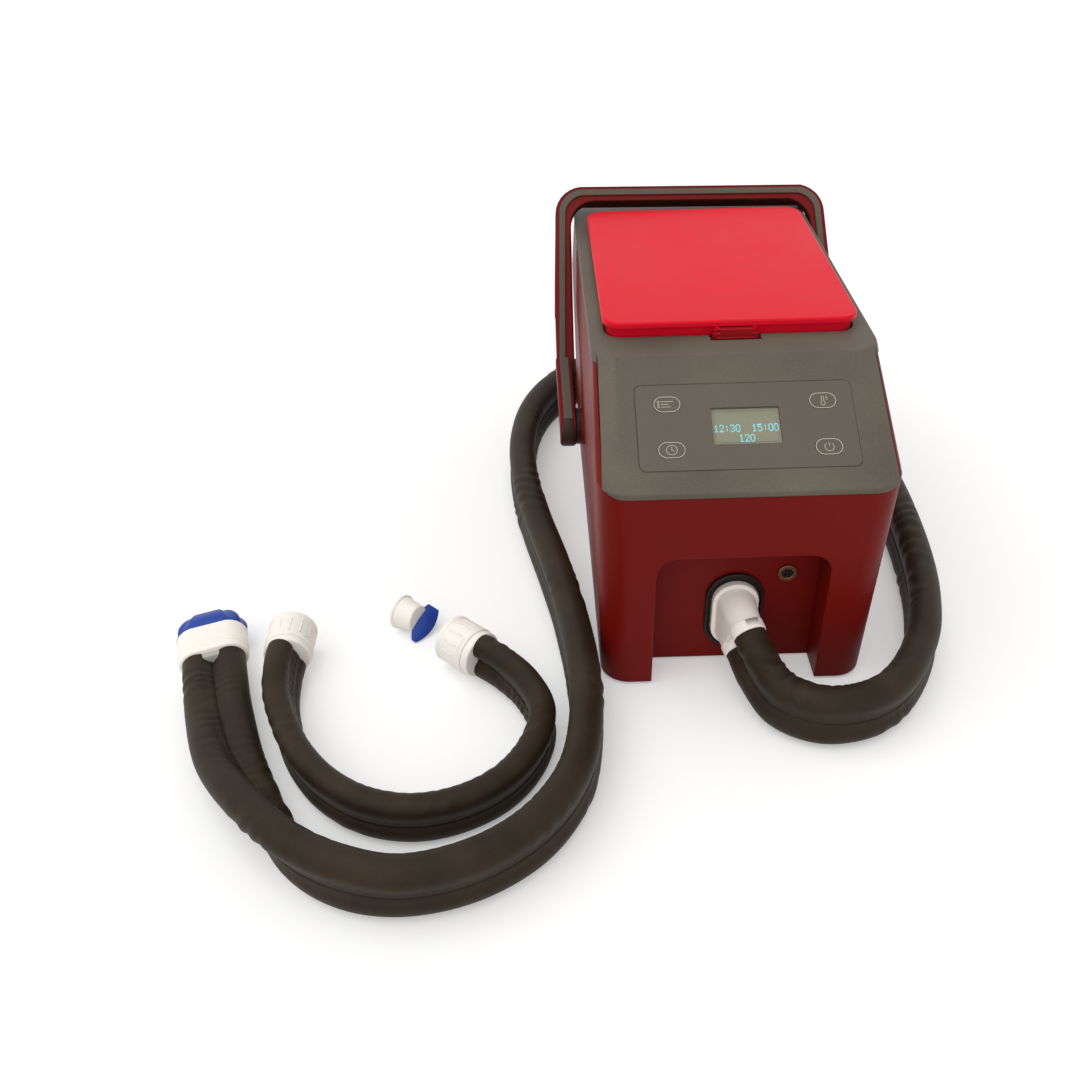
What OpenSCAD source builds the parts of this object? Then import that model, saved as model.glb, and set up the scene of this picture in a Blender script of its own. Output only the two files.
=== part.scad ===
// Hot and cold therapy machine: a drafted housing with a sloped key panel, a water
// reservoir under a hinged lid, a bail handle, a cooler with pump and fan, and a set
// of twin hoses in sewn sleeves. Millimetres, +Z up, front towards -Y, origin on the
// floor under the middle of the housing.

/* [Housing] */
// Width of the body where the cover meets it in front
body_w = 217; // [212:1:222]
// Depth of the body from front to back
body_d = 434; // [430:1:440]
// Height of the flat top of the cover
top_z = 240; // [236:1:246]
// Height of the front edge of the sloped panel
rim_z = 184; // [181:1:188]
// Distance from the front of the body back to the crease of the panel
panel_run = 97; // [94:1:100]
// How far each side leans in at the floor
side_draft = 5.5; // [4:0.5:7]
// How far the front and back lean in at the floor
end_draft = 5; // [3:0.5:7]
// How far each side leans in at the flat top
top_draft = 2.5; // [1.5:0.5:4]
// Radius of the upright corners
corner_r = 22; // [18:1:26]
// Thickness of the housing walls
wall = 3; // [2.6:0.1:3.4]
// Height of the cover's side, from its top face to the seam
cover_edge = 5.5; // [5:0.5:7]
// How far the cover stands over the body at the seam
cover_overhang = 1.2; // [0.6:0.2:1.6]
// Height of the feet under the base
foot_h = 2; // [1.5:0.5:3]

/* [Front recess] */
// Width of the recess for the hose plug
recess_w = 128; // [122:1:132]
// Height of the top of the recess
recess_top = 124; // [120:1:128]
// Depth of the recess measured at the top of the body
recess_depth = 33; // [31:1:35]
// Corner radius of the recess
recess_r = 16; // [12:1:20]

/* [Lid] */
// Distance from the side of the lid to the side of the flat top
lid_margin = 9; // [8:0.5:11]
// Distance from the crease of the panel back to the lid
lid_front_gap = 31.5; // [30:0.5:33]
// Distance from the lid to the back of the housing
lid_back_gap = 66.5; // [65:0.5:69]
// Height of the lid's top face above the cover
lid_rise = 12; // [11:0.5:13]
// Thickness of the lid's plate
lid_t = 4.8; // [4:0.2:5.4]
// How far the skirt sits inside the edge of the plate
skirt_inset = 3.5; // [3:0.5:4.5]
// Corner radius of the lid
lid_r = 15; // [12:1:18]
// Diameter of the lid's hinge pins
hinge_pin_d = 3; // [2.5:0.5:3.5]

/* [Handle] */
// Distance from the pivot to the outside of the top bar
bail_reach = 224; // [221:1:230]
// Gap between the side of the housing and the inside of an arm
arm_gap = 4; // [3.5:0.5:6]
// How far each arm leans in at the top bar
bail_taper = 3; // [1:0.5:3]
// Width of the arms and of the top bar
arm_w = 14.5; // [13:0.5:15]
// Thickness of the bail behind the grey strip
bail_t = 16; // [14:1:17]
// Thickness of the grey strip on the bail
trim_t = 2; // [1.5:0.5:3]
// Height of the handle pivots
pivot_z = 96; // [94:1:98]
// Distance of the pivots behind the middle of the housing
pivot_y = 30; // [28:1:32]
// Lean of the parked handle, back from upright
park_angle = 42.8; // [42:0.2:43.4]
// Diameter of the pivot bolts
pivot_d = 10; // [8:1:12]

/* [Key panel] */
// Width of the membrane
membrane_w = 156; // [152:1:160]
// Height of the membrane along the slope
membrane_h = 70; // [68:1:72]
// Distance from the crease to the top of the membrane
membrane_drop = 25; // [24:0.5:26]
// Width of the display window
window_w = 49; // [46:1:52]
// Height of the display window along the slope
window_h = 30; // [28:1:32]
// Length of a key
key_l = 19.6; // [18:0.2:21]
// Height of a key along the slope
key_h = 13; // [11:1:15]
// Travel of a key
key_travel = 0.5; // [0.3:0.1:0.5]

/* [Hoses] */
// Diameter of one tube of the main hose in its sleeve
hose_d = 25; // [23:0.5:25]
// Diameter of one tube of the short hose in its sleeve
link_d = 20; // [18:0.5:20.5]
// Diameter of the couplings on the short hose
nut_d = 43; // [42:0.5:43]
// Outer diameter of the tubes inside the housing
tube_d = 13; // [12.5:0.5:13.5]

/* [Cooler] */
// Size of the square fan
fan_size = 120; // [118:1:120]
// Sideways place of the fan and the heat sink
fan_x = 20; // [18:1:22]
// Number of fins on the heat sink
fin_count = 15; // [9:2:17]

/* [Hidden] */

$fn = 48;
red = "#8c1c1c";
lid_red = "#c8202c";
grey = "#4d4845";
dark = "#1d1d1f";
white = "#ece8e2";
blue = "#1f4fa8";
brass = "#b08d4f";
steel = "#b9bcc0";

eps = 0.02;
// clearance of parts that are set into one another
gap = 0.3;
// radial clearance of pins, bolts and shafts
run = 0.05;
front_y = -body_d / 2;
back_y = body_d / 2;
crease_y = front_y + panel_run;
base_z = foot_h;
floor_w = body_w - 2 * side_draft;
top_w = body_w - 2 * top_draft;
lid_w = top_w - 2 * lid_margin;
lid_front = crease_y + lid_front_gap;
lid_back = back_y - lid_back_gap;
lid_d = lid_back - lid_front;
lid_y = (lid_front + lid_back) / 2;
bail_w = body_w + 2 * (arm_gap + arm_w);
bail_top_w = bail_w - 2 * bail_taper;
panel_angle = atan((top_z - rim_z) / panel_run);

// ---------------------------------------------------------------- shared shapes

// Rectangle with round corners, centred
module rounded_rect(w, d, r) {
    square([w - 2 * r, d], center = true);
    square([w, d - 2 * r], center = true);
    for (sx = [-1, 1], sy = [-1, 1])
        translate([sx * (w / 2 - r), sy * (d / 2 - r)])
            circle(r);
}

// Slot outline with round ends, centred, its long side along Y
module obround(w, h) {
    square([w, h - w], center = true);
    for (s = [-1, 1])
        translate([0, s * (h - w) / 2])
            circle(w / 2);
}

// Puts a drawing of X and Z onto a wall that faces the front
module on_wall(x, y, z) {
    translate([x, y, z])
        rotate([90, 0, 0])
            children();
}

// Puts children on the sloped panel: X across, -Y down the slope, Z out of it
module on_panel() {
    translate([0, crease_y, top_z])
        rotate([panel_angle, 0, 0])
            children();
}

// Cylinder along X from x0 to x1
module rod_x(x0, x1, d) {
    translate([x0, 0, 0])
        rotate([0, 90, 0])
            cylinder(d = d, h = x1 - x0);
}

// Cylinder along X between two distances from the middle, on the side s
module side_rod(s, a, b, d) {
    rod_x(min(s * a, s * b), max(s * a, s * b), d);
}

// Pan-head screw, its head under z = 0 and its shank up from there
module screw(d, length, head_d, head_h) {
    difference() {
        union() {
            cylinder(d = d, h = length);
            translate([0, 0, -head_h])
                cylinder(d = head_d, h = head_h);
        }
        for (a = [0, 90])
            rotate([0, 0, a])
                translate([0, 0, -head_h])
                    cube([head_d * 0.6, head_d * 0.16, head_h], center = true);
    }
}

// ---------------------------------------------------------------- housing form

// Height of the panel's plane, taken in by `inset_top`, where y = front_y + inset_side
function panel_edge(inset_side, inset_top) =
    top_z - (inset_top + (panel_run - inset_side) * sin(panel_angle)) / cos(panel_angle);

// Thin slice of the housing at one height
module slice(w, y0, y1, z, r) {
    translate([0, (y0 + y1) / 2, z])
        linear_extrude(eps)
            rounded_rect(w, y1 - y0, r);
}

// Solid housing, taken in at the sides and at the top
module housing_form(inset_side, inset_top, bottom) {
    s = inset_side;
    hull() {
        slice(floor_w - 2 * s, front_y + end_draft + s, back_y - end_draft - s, bottom, corner_r - s);
        slice(body_w - 2 * s, front_y + s, back_y - s, panel_edge(s, inset_top) - eps, corner_r - s);
        slice(top_w - 2 * s, crease_y + inset_top * tan(panel_angle / 2), back_y - s,
            top_z - inset_top - eps, corner_r - s);
    }
}

// Everything above the seam between body and cover
module above_seam() {
    far = 60;
    rotate([90, 0, 90])
        linear_extrude(body_w + far, center = true)
            polygon([
                [front_y - far, rim_z - cover_edge], [front_y, rim_z - cover_edge],
                [crease_y, top_z - cover_edge], [back_y + far, top_z - cover_edge],
                [back_y + far, top_z + far], [front_y - far, top_z + far]
            ]);
}

// ---------------------------------------------------------------- places

recess_y = front_y + recess_depth;
socket_x = 1;
socket_z = 51;
socket_w = 39.4;
socket_h = 65.4;
port_pitch = 25;
port_d = 16.4;
jack_x = 40;
jack_z = 86;
jack_d = 12;
base_t = 3;
base_top = base_z + base_t;
post_d = 10;
post_h = 34;
post_x = floor_w / 2 - wall - post_d / 2 + 0.5;
post_end = 27;
post_mid = 70;
post_ys = [front_y + post_end, -post_mid, post_mid, back_y - post_end];
post_pilot = 3.1;
lug_in = 7.5;
lug_places = [[top_w / 2 - lug_in, back_y - 22], [top_w / 2 - lug_in, crease_y + 12]];
lug_drop = 20;
lug_h = 8;
lug_d = 13;
vent_count = 11;
vent_w = 4;
vent_h = 90;
vent_z = 72;

module recess_outline(grow) {
    w = recess_w + 2 * grow;
    r = recess_r + grow;
    translate([0, -50])
        square([w, 2 * (50 + recess_top + grow - r)], center = true);
    translate([0, recess_top / 2 + grow / 2 - 25])
        square([w - 2 * r, recess_top + grow + 50], center = true);
    for (s = [-1, 1])
        translate([s * (w / 2 - r), recess_top + grow - r])
            circle(r);
}

module recess_cavity() {
    on_wall(0, recess_y, 0)
        linear_extrude(recess_depth + 40)
            recess_outline(0);
}

module body_posts() {
    for (sx = [-1, 1], y = post_ys)
        translate([sx * post_x, y, base_top])
            cylinder(d = post_d, h = post_h);
}

module body_lugs() {
    for (sx = [-1, 1], p = lug_places)
        translate([sx * p[0], p[1], top_z - cover_edge - lug_drop])
            cylinder(d = lug_d, h = lug_h);
}

boss_d = 26;
boss_pad_d = 35;
// Depths of the pivot boss, its pad and its nut in from the side of the housing
boss_depth = 18.5;
pad_depth = 7.5;
nut_depth = 23.5;
boss_face = body_w / 2 - gap;

module body_shell() {
    color(red)
        difference() {
            union() {
                difference() {
                    housing_form(0, 0, base_z);
                    housing_form(wall, wall, base_z - 1);
                }
                intersection() {
                    on_wall(0, recess_y + wall, 0)
                        linear_extrude(recess_depth + 40)
                            recess_outline(wall);
                    housing_form(0, 0, base_z);
                }
                body_posts();
                body_lugs();
                for (s = [-1, 1])
                    translate([0, pivot_y, pivot_z]) {
                        side_rod(s, body_w / 2 - boss_depth, body_w / 2 - pad_depth + 1, boss_d);
                        side_rod(s, body_w / 2 - pad_depth, boss_face, boss_pad_d);
                    }
            }
            above_seam();
            recess_cavity();
            on_wall(socket_x, recess_y + wall + 1, socket_z)
                linear_extrude(wall + 2)
                    obround(socket_w + 2 * gap, socket_h + 2 * gap);
            on_wall(jack_x, recess_y + wall + 1, jack_z)
                cylinder(d = jack_d + 2 * run, h = wall + 2);
            translate([0, pivot_y, pivot_z])
                rod_x(-body_w, body_w, pivot_d + 2 * run);
            for (i = [0 : vent_count - 1])
                on_wall(fan_x + (i - (vent_count - 1) / 2) * 9, back_y + 5, vent_z)
                    linear_extrude(wall + end_draft + 8)
                        obround(vent_w, vent_h);
            for (sx = [-1, 1], y = post_ys)
                translate([sx * post_x, y, base_top - 1])
                    cylinder(d = post_pilot, h = post_h - 6);
            for (sx = [-1, 1], p = lug_places)
                translate([sx * p[0], p[1], top_z - cover_edge - lug_drop - 1])
                    cylinder(d = 3.6, h = lug_h + 2);
        }
}

module base_outline() {
    r = corner_r - wall - gap;
    difference() {
        rounded_rect(floor_w - 2 * wall - 2 * gap, body_d - 2 * (end_draft + wall + gap), r);
        translate([0, front_y])
            square([recess_w + 2 * (wall + gap), 2 * (recess_depth + wall + gap)], center = true);
    }
}

module base_plate() {
    color(dark)
        difference() {
            translate([0, 0, base_z])
                linear_extrude(base_t)
                    base_outline();
            for (sx = [-1, 1], y = post_ys)
                translate([sx * post_x, y, base_z - 1]) {
                    cylinder(d = post_pilot + 0.4, h = base_t + 2);
                    cylinder(d = 6.6, h = 2.6);
                }
            for (p = foot_places)
                translate([p[0], p[1], base_z - 1])
                    cylinder(d = foot_d + 2 * gap, h = 2);
            for (i = [0 : 8])
                translate([fan_x + (i - 4) * 9 - 45, 30, base_z - 1])
                    linear_extrude(base_t + 2)
                        obround(4, 60);
        }
}

foot_d = 16;
foot_in = 19;
foot_end = 47;
foot_places = [for (sx = [-1, 1], y = [front_y + foot_end, back_y - foot_end]) [sx * (floor_w / 2 - foot_in), y]];

module feet() {
    color(dark)
        for (p = foot_places)
            translate([p[0], p[1], 0])
                difference() {
                    cylinder(d = foot_d, h = base_z + 1);
                    translate([0, 0, -1])
                        cylinder(d = 4, h = 2);
                }
}

module base_screws() {
    color(steel)
        for (sx = [-1, 1], y = post_ys)
            translate([sx * post_x, y, base_z + 1.6])
                screw(3, 18, 6, 1.6);
}

module cover_screws() {
    color(steel)
        for (sx = [-1, 1], p = lug_places)
            translate([sx * p[0], p[1], top_z - cover_edge - lug_drop])
                screw(3, 20, 6, 2);
}

module tank_screws() {
    color(steel)
        for (p = tank_screw_places)
            translate([p[0], p[1], tank_rim - flange_t])
                screw(3, 7.5, 5.4, 2);
}

// ---------------------------------------------------------------- cover

tray_h = 8;
tray_rim = 4;
tray_bottom = top_z - tray_h;
well_depth = 4;
well_gap = 1.5;
mouth_w = lid_w - 26;
mouth_d = lid_d - 27;
mouth_r = 12;
latch_x = 3;
latch_w = 35;
latch_tab_w = 25;
latch_tab_t = 3.6;
hinge_y = lid_back + 5.4;
hinge_z = top_z + 5.2;
hinge_r = 4.2;
hinge_x = 60;
knuckle_w = 18;
ear_w = 4;
standoff_x = 68;
standoff_ys = [-30, -90];
board_depth = 10;
// keys: name order is mode, temperature, timer, power
key_places = [[-55, -41.2], [57, -41.5], [-54.2, -78.6], [57, -79.2]];
panel_x = 0.5;
membrane_t = 0.5;
membrane_y = -membrane_drop - membrane_h / 2;
window_y = membrane_y;

module hinge_ears() {
    for (sx = [-1, 1], side = [-1, 1])
        translate([sx * hinge_x + side * (knuckle_w / 2 + gap + ear_w / 2), hinge_y, 0]) {
            translate([-ear_w / 2, 0, hinge_z])
                rod_x(0, ear_w, 2 * hinge_r);
            translate([-ear_w / 2, -hinge_r, top_z - wall])
                cube([ear_w, 2 * hinge_r, hinge_z - top_z + wall]);
        }
}

module key_outline(grow) {
    rotate([0, 0, 90])
        obround(key_h + 2 * grow, key_l + 2 * grow);
}

module top_cover() {
    color(grey)
        difference() {
            union() {
                difference() {
                    intersection() {
                        housing_form(-cover_overhang, 0, base_z);
                        above_seam();
                    }
                    housing_form(wall, wall, base_z - 1);
                }
                translate([0, lid_y, tray_bottom])
                    linear_extrude(tray_h - eps)
                        rounded_rect(lid_w + 2 * tray_rim, lid_d + 2 * tray_rim, lid_r);
                translate([latch_x - latch_w / 2 - 6, lid_front - 12, tray_bottom])
                    cube([latch_w + 12, 14, tray_h - eps]);
                hinge_ears();
                on_panel()
                    for (sx = [-1, 1], y = standoff_ys)
                        translate([sx * standoff_x + panel_x, y, -board_depth])
                            cylinder(d = 7, h = board_depth - 1);
                intersection() {
                    for (sx = [-1, 1], p = lug_places)
                        translate([sx * p[0], p[1], top_z - cover_edge - lug_drop + lug_h])
                            cylinder(d = 9, h = 30);
                    housing_form(wall + 0.5, 1, base_z);
                }
            }
            translate([0, lid_y, top_z - well_depth])
                linear_extrude(well_depth + 1)
                    rounded_rect(lid_w - 2 * (skirt_inset - well_gap), lid_d - 2 * (skirt_inset - well_gap),
                        lid_r - 2);
            translate([0, lid_y, tray_bottom - 1])
                linear_extrude(tray_h + 2)
                    rounded_rect(mouth_w, mouth_d, mouth_r);
            translate([latch_x - latch_w / 2 - 1.5, lid_front - 7.5, top_z - well_depth])
                cube([latch_w + 3, 10, well_depth + 1]);
            translate([0, hinge_y, hinge_z])
                rod_x(-body_w / 2, body_w / 2, hinge_pin_d + 2 * run);
            on_panel() {
                translate([panel_x, membrane_y, -membrane_t])
                    linear_extrude(1)
                        rounded_rect(membrane_w + 2 * gap, membrane_h + 2 * gap, 5);
                translate([panel_x, window_y, -2.2])
                    linear_extrude(3)
                        rounded_rect(window_w, window_h, 1.5);
                translate([panel_x, window_y, -wall - 1])
                    linear_extrude(wall + 1)
                        rounded_rect(window_w - 5, window_h - 5, 1);
                for (p = key_places)
                    translate([p[0], p[1], -wall - 1])
                        linear_extrude(wall + 2)
                            key_outline(gap);
                for (sx = [-1, 1], y = standoff_ys)
                    translate([sx * standoff_x + panel_x, y, -board_depth - 1])
                        cylinder(d = 2.4, h = 7);
            }
            for (sx = [-1, 1], p = lug_places)
                translate([sx * p[0], p[1], top_z - cover_edge - lug_drop + lug_h - 1])
                    cylinder(d = post_pilot, h = 14);
            for (p = tank_screw_places)
                translate([p[0], p[1], tray_bottom - 1])
                    cylinder(d = post_pilot, h = 4.2);
        }
}

// ---------------------------------------------------------------- reservoir

gasket_t = 1.5;
flange_t = 3;
tank_w = mouth_w + 4;
tank_len = mouth_d + 4;
tank_wall = 2.5;
tank_floor = 128;
tank_rim = tray_bottom - gasket_t;
spout_d = 9;
spout_bore = 6;
spout_h = 14;
spout_x = -45;
spout_y = -40;
return_x = 45;
return_z = 137;

tank_screw_out = 3.6;
tank_screw_end = 17;
tank_screw_places = [for (sx = [-1, 1], sy = [-1, 0, 1])
    [sx * (tank_w / 2 + tank_screw_out), lid_y + sy * (tank_len / 2 - tank_screw_end)]];

module reservoir_tank() {
    color(white)
        difference() {
            union() {
                translate([0, lid_y, tank_floor])
                    linear_extrude(tank_rim - tank_floor)
                        rounded_rect(tank_w, tank_len, mouth_r + 2);
                translate([0, lid_y, tank_rim - flange_t])
                    linear_extrude(flange_t)
                        rounded_rect(tank_w + 14, tank_len + 14, mouth_r + 6);
                translate([spout_x, spout_y, tank_floor - spout_h])
                    cylinder(d = spout_d, h = spout_h + 1);
                on_wall(return_x, lid_y - tank_len / 2 + 1, return_z)
                    cylinder(d = spout_d, h = spout_h + 1);
            }
            translate([0, lid_y, tank_floor + tank_wall])
                linear_extrude(tank_rim - tank_floor)
                    rounded_rect(tank_w - 2 * tank_wall, tank_len - 2 * tank_wall, mouth_r);
            translate([spout_x, spout_y, tank_floor - spout_h - 1])
                cylinder(d = spout_bore, h = spout_h + tank_wall + 2);
            on_wall(return_x, lid_y - tank_len / 2 + tank_wall + 1, return_z)
                cylinder(d = spout_bore, h = spout_h + tank_wall + 2);
            for (p = tank_screw_places)
                translate([p[0], p[1], tank_rim - flange_t - 1])
                    cylinder(d = 3.6, h = flange_t + 2);
        }
}

module tank_gasket() {
    color(dark)
        translate([0, lid_y, tank_rim])
            linear_extrude(gasket_t)
                difference() {
                    rounded_rect(tank_w + 12, tank_len + 12, mouth_r + 5);
                    rounded_rect(tank_w - 2, tank_len - 2, mouth_r + 1);
                    for (p = tank_screw_places)
                        translate([p[0], p[1] - lid_y])
                            circle(d = 3.6);
                }
}

module tank_filter() {
    color(steel)
        translate([spout_x, spout_y, tank_floor + tank_wall])
            difference() {
                cylinder(d = 20, h = 14);
                translate([0, 0, -1])
                    cylinder(d = 16, h = 13);
                for (a = [0 : 30 : 150])
                    rotate([0, 0, a])
                        translate([0, 0, 6])
                            cube([24, 2, 6], center = true);
            }
}

// ---------------------------------------------------------------- lid

lid_top = top_z + lid_rise;
lid_under = lid_top - lid_t;
skirt_bottom = top_z - 1.6;
skirt_t = 2.5;
skirt_w = lid_w - 2 * skirt_inset;
skirt_d = lid_d - 2 * skirt_inset;
latch_pin_y = lid_front + 1.7;
latch_pin_z = lid_under - 2.4;
latch_pin_d = 2.4;

module lid() {
    color(lid_red)
        difference() {
            union() {
                translate([0, lid_y, lid_under])
                    linear_extrude(lid_t)
                        rounded_rect(lid_w, lid_d, lid_r);
                translate([0, lid_y, skirt_bottom])
                    linear_extrude(lid_under - skirt_bottom)
                        difference() {
                            rounded_rect(skirt_w, skirt_d, lid_r - 3);
                            rounded_rect(skirt_w - 2 * skirt_t, skirt_d - 2 * skirt_t, lid_r - 5.5);
                        }
                for (x = [-40, 0, 40])
                    translate([x - 1, lid_y - skirt_d / 2 + 1, lid_under - 4])
                        cube([2, skirt_d - 2, 4]);
                for (sx = [-1, 1])
                    translate([sx * hinge_x, 0, 0]) {
                        translate([-knuckle_w / 2, hinge_y, hinge_z])
                            rod_x(0, knuckle_w, 2 * hinge_r);
                        translate([-knuckle_w / 2, lid_back - 5, lid_under - 1.4])
                            cube([knuckle_w, hinge_y - lid_back + 5, 3.6]);
                    }
                for (side = [-1, 1])
                    translate([latch_x + side * (latch_tab_w / 2 + gap + 1.5) - 1.5,
                            lid_front + 0.2, lid_under - 4.4])
                        cube([3, skirt_inset, 4.4 + 1]);
            }
            translate([0, hinge_y, hinge_z])
                rod_x(-body_w / 2, body_w / 2, hinge_pin_d + 2 * run);
            translate([latch_x, latch_pin_y, latch_pin_z])
                rod_x(-20, 20, latch_pin_d + 2 * run);
        }
}

module lid_seal() {
    seal_out = 2 * (skirt_t + 0.4);
    color(dark)
        translate([0, lid_y, 0])
            difference() {
                translate([0, 0, top_z - well_depth + 0.3])
                    linear_extrude(lid_under - 4 - top_z + well_depth - 0.3)
                        rounded_rect(skirt_w - seal_out, skirt_d - seal_out, lid_r - 6);
                translate([0, 0, top_z - well_depth])
                    linear_extrude(lid_under - top_z + well_depth)
                        rounded_rect(skirt_w - seal_out - 7, skirt_d - seal_out - 7, lid_r - 8);
            }
}

module lid_hinge_pins() {
    color(steel)
        for (sx = [-1, 1])
            translate([sx * hinge_x, hinge_y, hinge_z])
                rod_x(-knuckle_w / 2 - gap - ear_w, knuckle_w / 2 + gap + ear_w, hinge_pin_d);
}

module lid_latch() {
    plate_y = lid_front - 3.6;
    color(lid_red)
        difference() {
            union() {
                translate([latch_x - latch_tab_w / 2, plate_y, latch_pin_z - latch_tab_t / 2])
                    cube([latch_tab_w, latch_pin_y - plate_y, latch_tab_t]);
                translate([latch_x, latch_pin_y, latch_pin_z])
                    rod_x(-latch_tab_w / 2, latch_tab_w / 2, latch_tab_t);
                translate([latch_x - latch_w / 2, plate_y, top_z - 2.2])
                    cube([latch_w, 3, lid_under - 1.8 - top_z]);
                translate([latch_x - latch_w / 2 + 3, plate_y - 0.8, top_z - 1.4])
                    cube([latch_w - 6, 1, 1.4]);
            }
            translate([latch_x, latch_pin_y, latch_pin_z])
                rod_x(-20, 20, latch_pin_d + 2 * run);
        }
}

module latch_pin() {
    half = latch_tab_w / 2 + gap + 3;
    color(steel)
        translate([latch_x, latch_pin_y, latch_pin_z])
            rod_x(-half, half, latch_pin_d);
}

// ---------------------------------------------------------------- handle

arm_in = bail_w / 2 - arm_w;
paddle_r = 17;
bail_r = 25;
bail_in_r = 10;
web_r = 22;
hub_d = 33;
bolt_head_d = 18;
bolt_sink = 4;
trim_w = 5.6;
trim_in = 3.6;
flare_s = 62;
bail_back = -9;

// Drawn upright: X across, Y up from the pivot axis, then turned back to its park lean
module bail_place() {
    translate([0, pivot_y, pivot_z])
        rotate([-park_angle, 0, 0])
            rotate([90, 0, 0])
                children();
}

// Outline of the bail taken in from its outside by `inset`, down to the height `low`
module bail_outline(inset, r, low) {
    half = bail_w / 2 - inset;
    half_top = bail_top_w / 2 - inset;
    top = bail_reach - inset;
    polygon([
        [-half, low], [half, low], [half_top, top - r],
        for (a = [6 : 12 : 84]) [half_top - r + r * cos(a), top - r + r * sin(a)],
        for (a = [96 : 12 : 174]) [-half_top + r + r * cos(a), top - r + r * sin(a)],
        [-half_top, top - r]
    ]);
}

// Drawing of Y and height above the pivot, as thick as one arm, on both arms
module on_arms(x0, x1) {
    translate([0, pivot_y, pivot_z])
        rotate([-park_angle, 0, 0])
            for (x = [x0, -x1])
                translate([x, 0, 0])
                    rotate([90, 0, 90])
                        linear_extrude(x1 - x0)
                            children();
}

module handle_frame() {
    bail_front = -bail_t - bail_back;
    color(red)
        difference() {
            union() {
                bail_place() {
                    translate([0, 0, bail_back])
                        linear_extrude(bail_t)
                            difference() {
                                bail_outline(0, bail_r, 0);
                                bail_outline(arm_w, bail_in_r, -1);
                            }
                    linear_extrude(bail_t + bail_back)
                        difference() {
                            bail_outline(1, bail_r - 1, 100);
                            bail_outline(arm_w, web_r, 99);
                        }
                }
                on_arms(arm_in, bail_w / 2)
                    union() {
                        circle(paddle_r);
                        polygon([[bail_front, flare_s], [-paddle_r + 0.3, 3], [paddle_r - 0.3, 3],
                            [-bail_back, flare_s]]);
                    }
            }
            translate([0, pivot_y, pivot_z]) {
                rod_x(-bail_w, bail_w, pivot_d + 2 * run);
                for (s = [-1, 1])
                    side_rod(s, bail_w / 2 - bolt_sink, bail_w, bolt_head_d + 1);
            }
        }
}

module handle_trim() {
    bail_front = -bail_t - bail_back;
    color(grey) {
        bail_place()
            translate([0, 0, bail_t + bail_back])
                linear_extrude(trim_t)
                    difference() {
                        bail_outline(trim_in, bail_r - trim_in, flare_s);
                        bail_outline(trim_in + trim_w, web_r - 4, flare_s - 1);
                    }
        on_arms(bail_w / 2 - trim_in - 8, bail_w / 2 - trim_in)
            polygon([[bail_front, flare_s + eps], [bail_front - trim_t, flare_s + eps],
                [-paddle_r + 0.3 - trim_t, 3], [-paddle_r + 0.3, 3]]);
    }
}

module pivot_washers() {
    color(dark)
        translate([0, pivot_y, pivot_z])
            for (s = [-1, 1])
                difference() {
                    side_rod(s, boss_face, arm_in - gap, hub_d);
                    rod_x(-bail_w, bail_w, pivot_d + 2 * run);
                }
}

module pivot_bolts() {
    tip = body_w / 2 - nut_depth - 1;
    head = bail_w / 2 - bolt_sink + gap;
    color(dark)
        translate([0, pivot_y, pivot_z])
            for (s = [-1, 1]) {
                side_rod(s, tip, head, pivot_d);
                side_rod(s, head - eps, head + 3, bolt_head_d);
            }
}

module pivot_nuts() {
    color(steel)
        translate([0, pivot_y, pivot_z])
            for (s = [-1, 1])
                difference() {
                    rotate([0, s * 90, 0])
                        translate([0, 0, body_w / 2 - nut_depth])
                            cylinder(d = bolt_head_d + 1, h = nut_depth - boss_depth, $fn = 6);
                    rod_x(-bail_w, bail_w, pivot_d + 2 * run);
                }
}

// ---------------------------------------------------------------- key panel

module keypad_membrane() {
    color("#403c3a")
        on_panel()
            translate([0, 0, -membrane_t])
                linear_extrude(membrane_t)
                    difference() {
                        translate([panel_x, membrane_y])
                            rounded_rect(membrane_w, membrane_h, 5);
                        translate([panel_x, window_y])
                            rounded_rect(window_w, window_h, 1.5);
                        for (p = key_places)
                            translate(p)
                                key_outline(gap);
                    }
}

module key(i) {
    color("#45413f")
        on_panel()
            translate([key_places[i][0], key_places[i][1], 0]) {
                translate([0, 0, -wall - eps])
                    linear_extrude(wall + eps + 0.2)
                        key_outline(0);
                translate([0, 0, -wall - 1])
                    linear_extrude(1)
                        key_outline(1.5);
            }
}

module key_mode() { key(0); }
module key_temperature() { key(1); }
module key_timer() { key(2); }
module key_power() { key(3); }

module display_window() {
    color("#9aa79b")
        on_panel()
            translate([panel_x, window_y, -2.2])
                linear_extrude(1.4)
                    rounded_rect(window_w - 2 * gap, window_h - 2 * gap, 1.2);
}

module display_module() {
    color("#5b655c")
        on_panel()
            translate([panel_x, window_y, 0]) {
                translate([0, 0, -board_depth])
                    linear_extrude(board_depth - wall)
                        square([window_w + 14, window_h + 12], center = true);
                translate([0, 0, -wall - eps])
                    linear_extrude(wall - 2.2 + eps)
                        square([window_w - 6, window_h - 6], center = true);
            }
}

board_t = 1.6;
board_w = 146;
board_h = 72;

module control_board() {
    color("#1f6b3a")
        on_panel()
            difference() {
                union() {
                    translate([panel_x, window_y, -board_depth - board_t])
                        linear_extrude(board_t)
                            square([board_w, board_h], center = true);
                    for (x = [-50 : 20 : 50])
                        translate([x, window_y - 24, -board_depth - board_t - 3])
                            linear_extrude(3 + eps)
                                square([12, 9], center = true);
                }
                for (sx = [-1, 1], y = standoff_ys)
                    translate([sx * standoff_x + panel_x, y, -board_depth - board_t - 1])
                        cylinder(d = 2.6, h = board_t + 2);
            }
}

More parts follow.
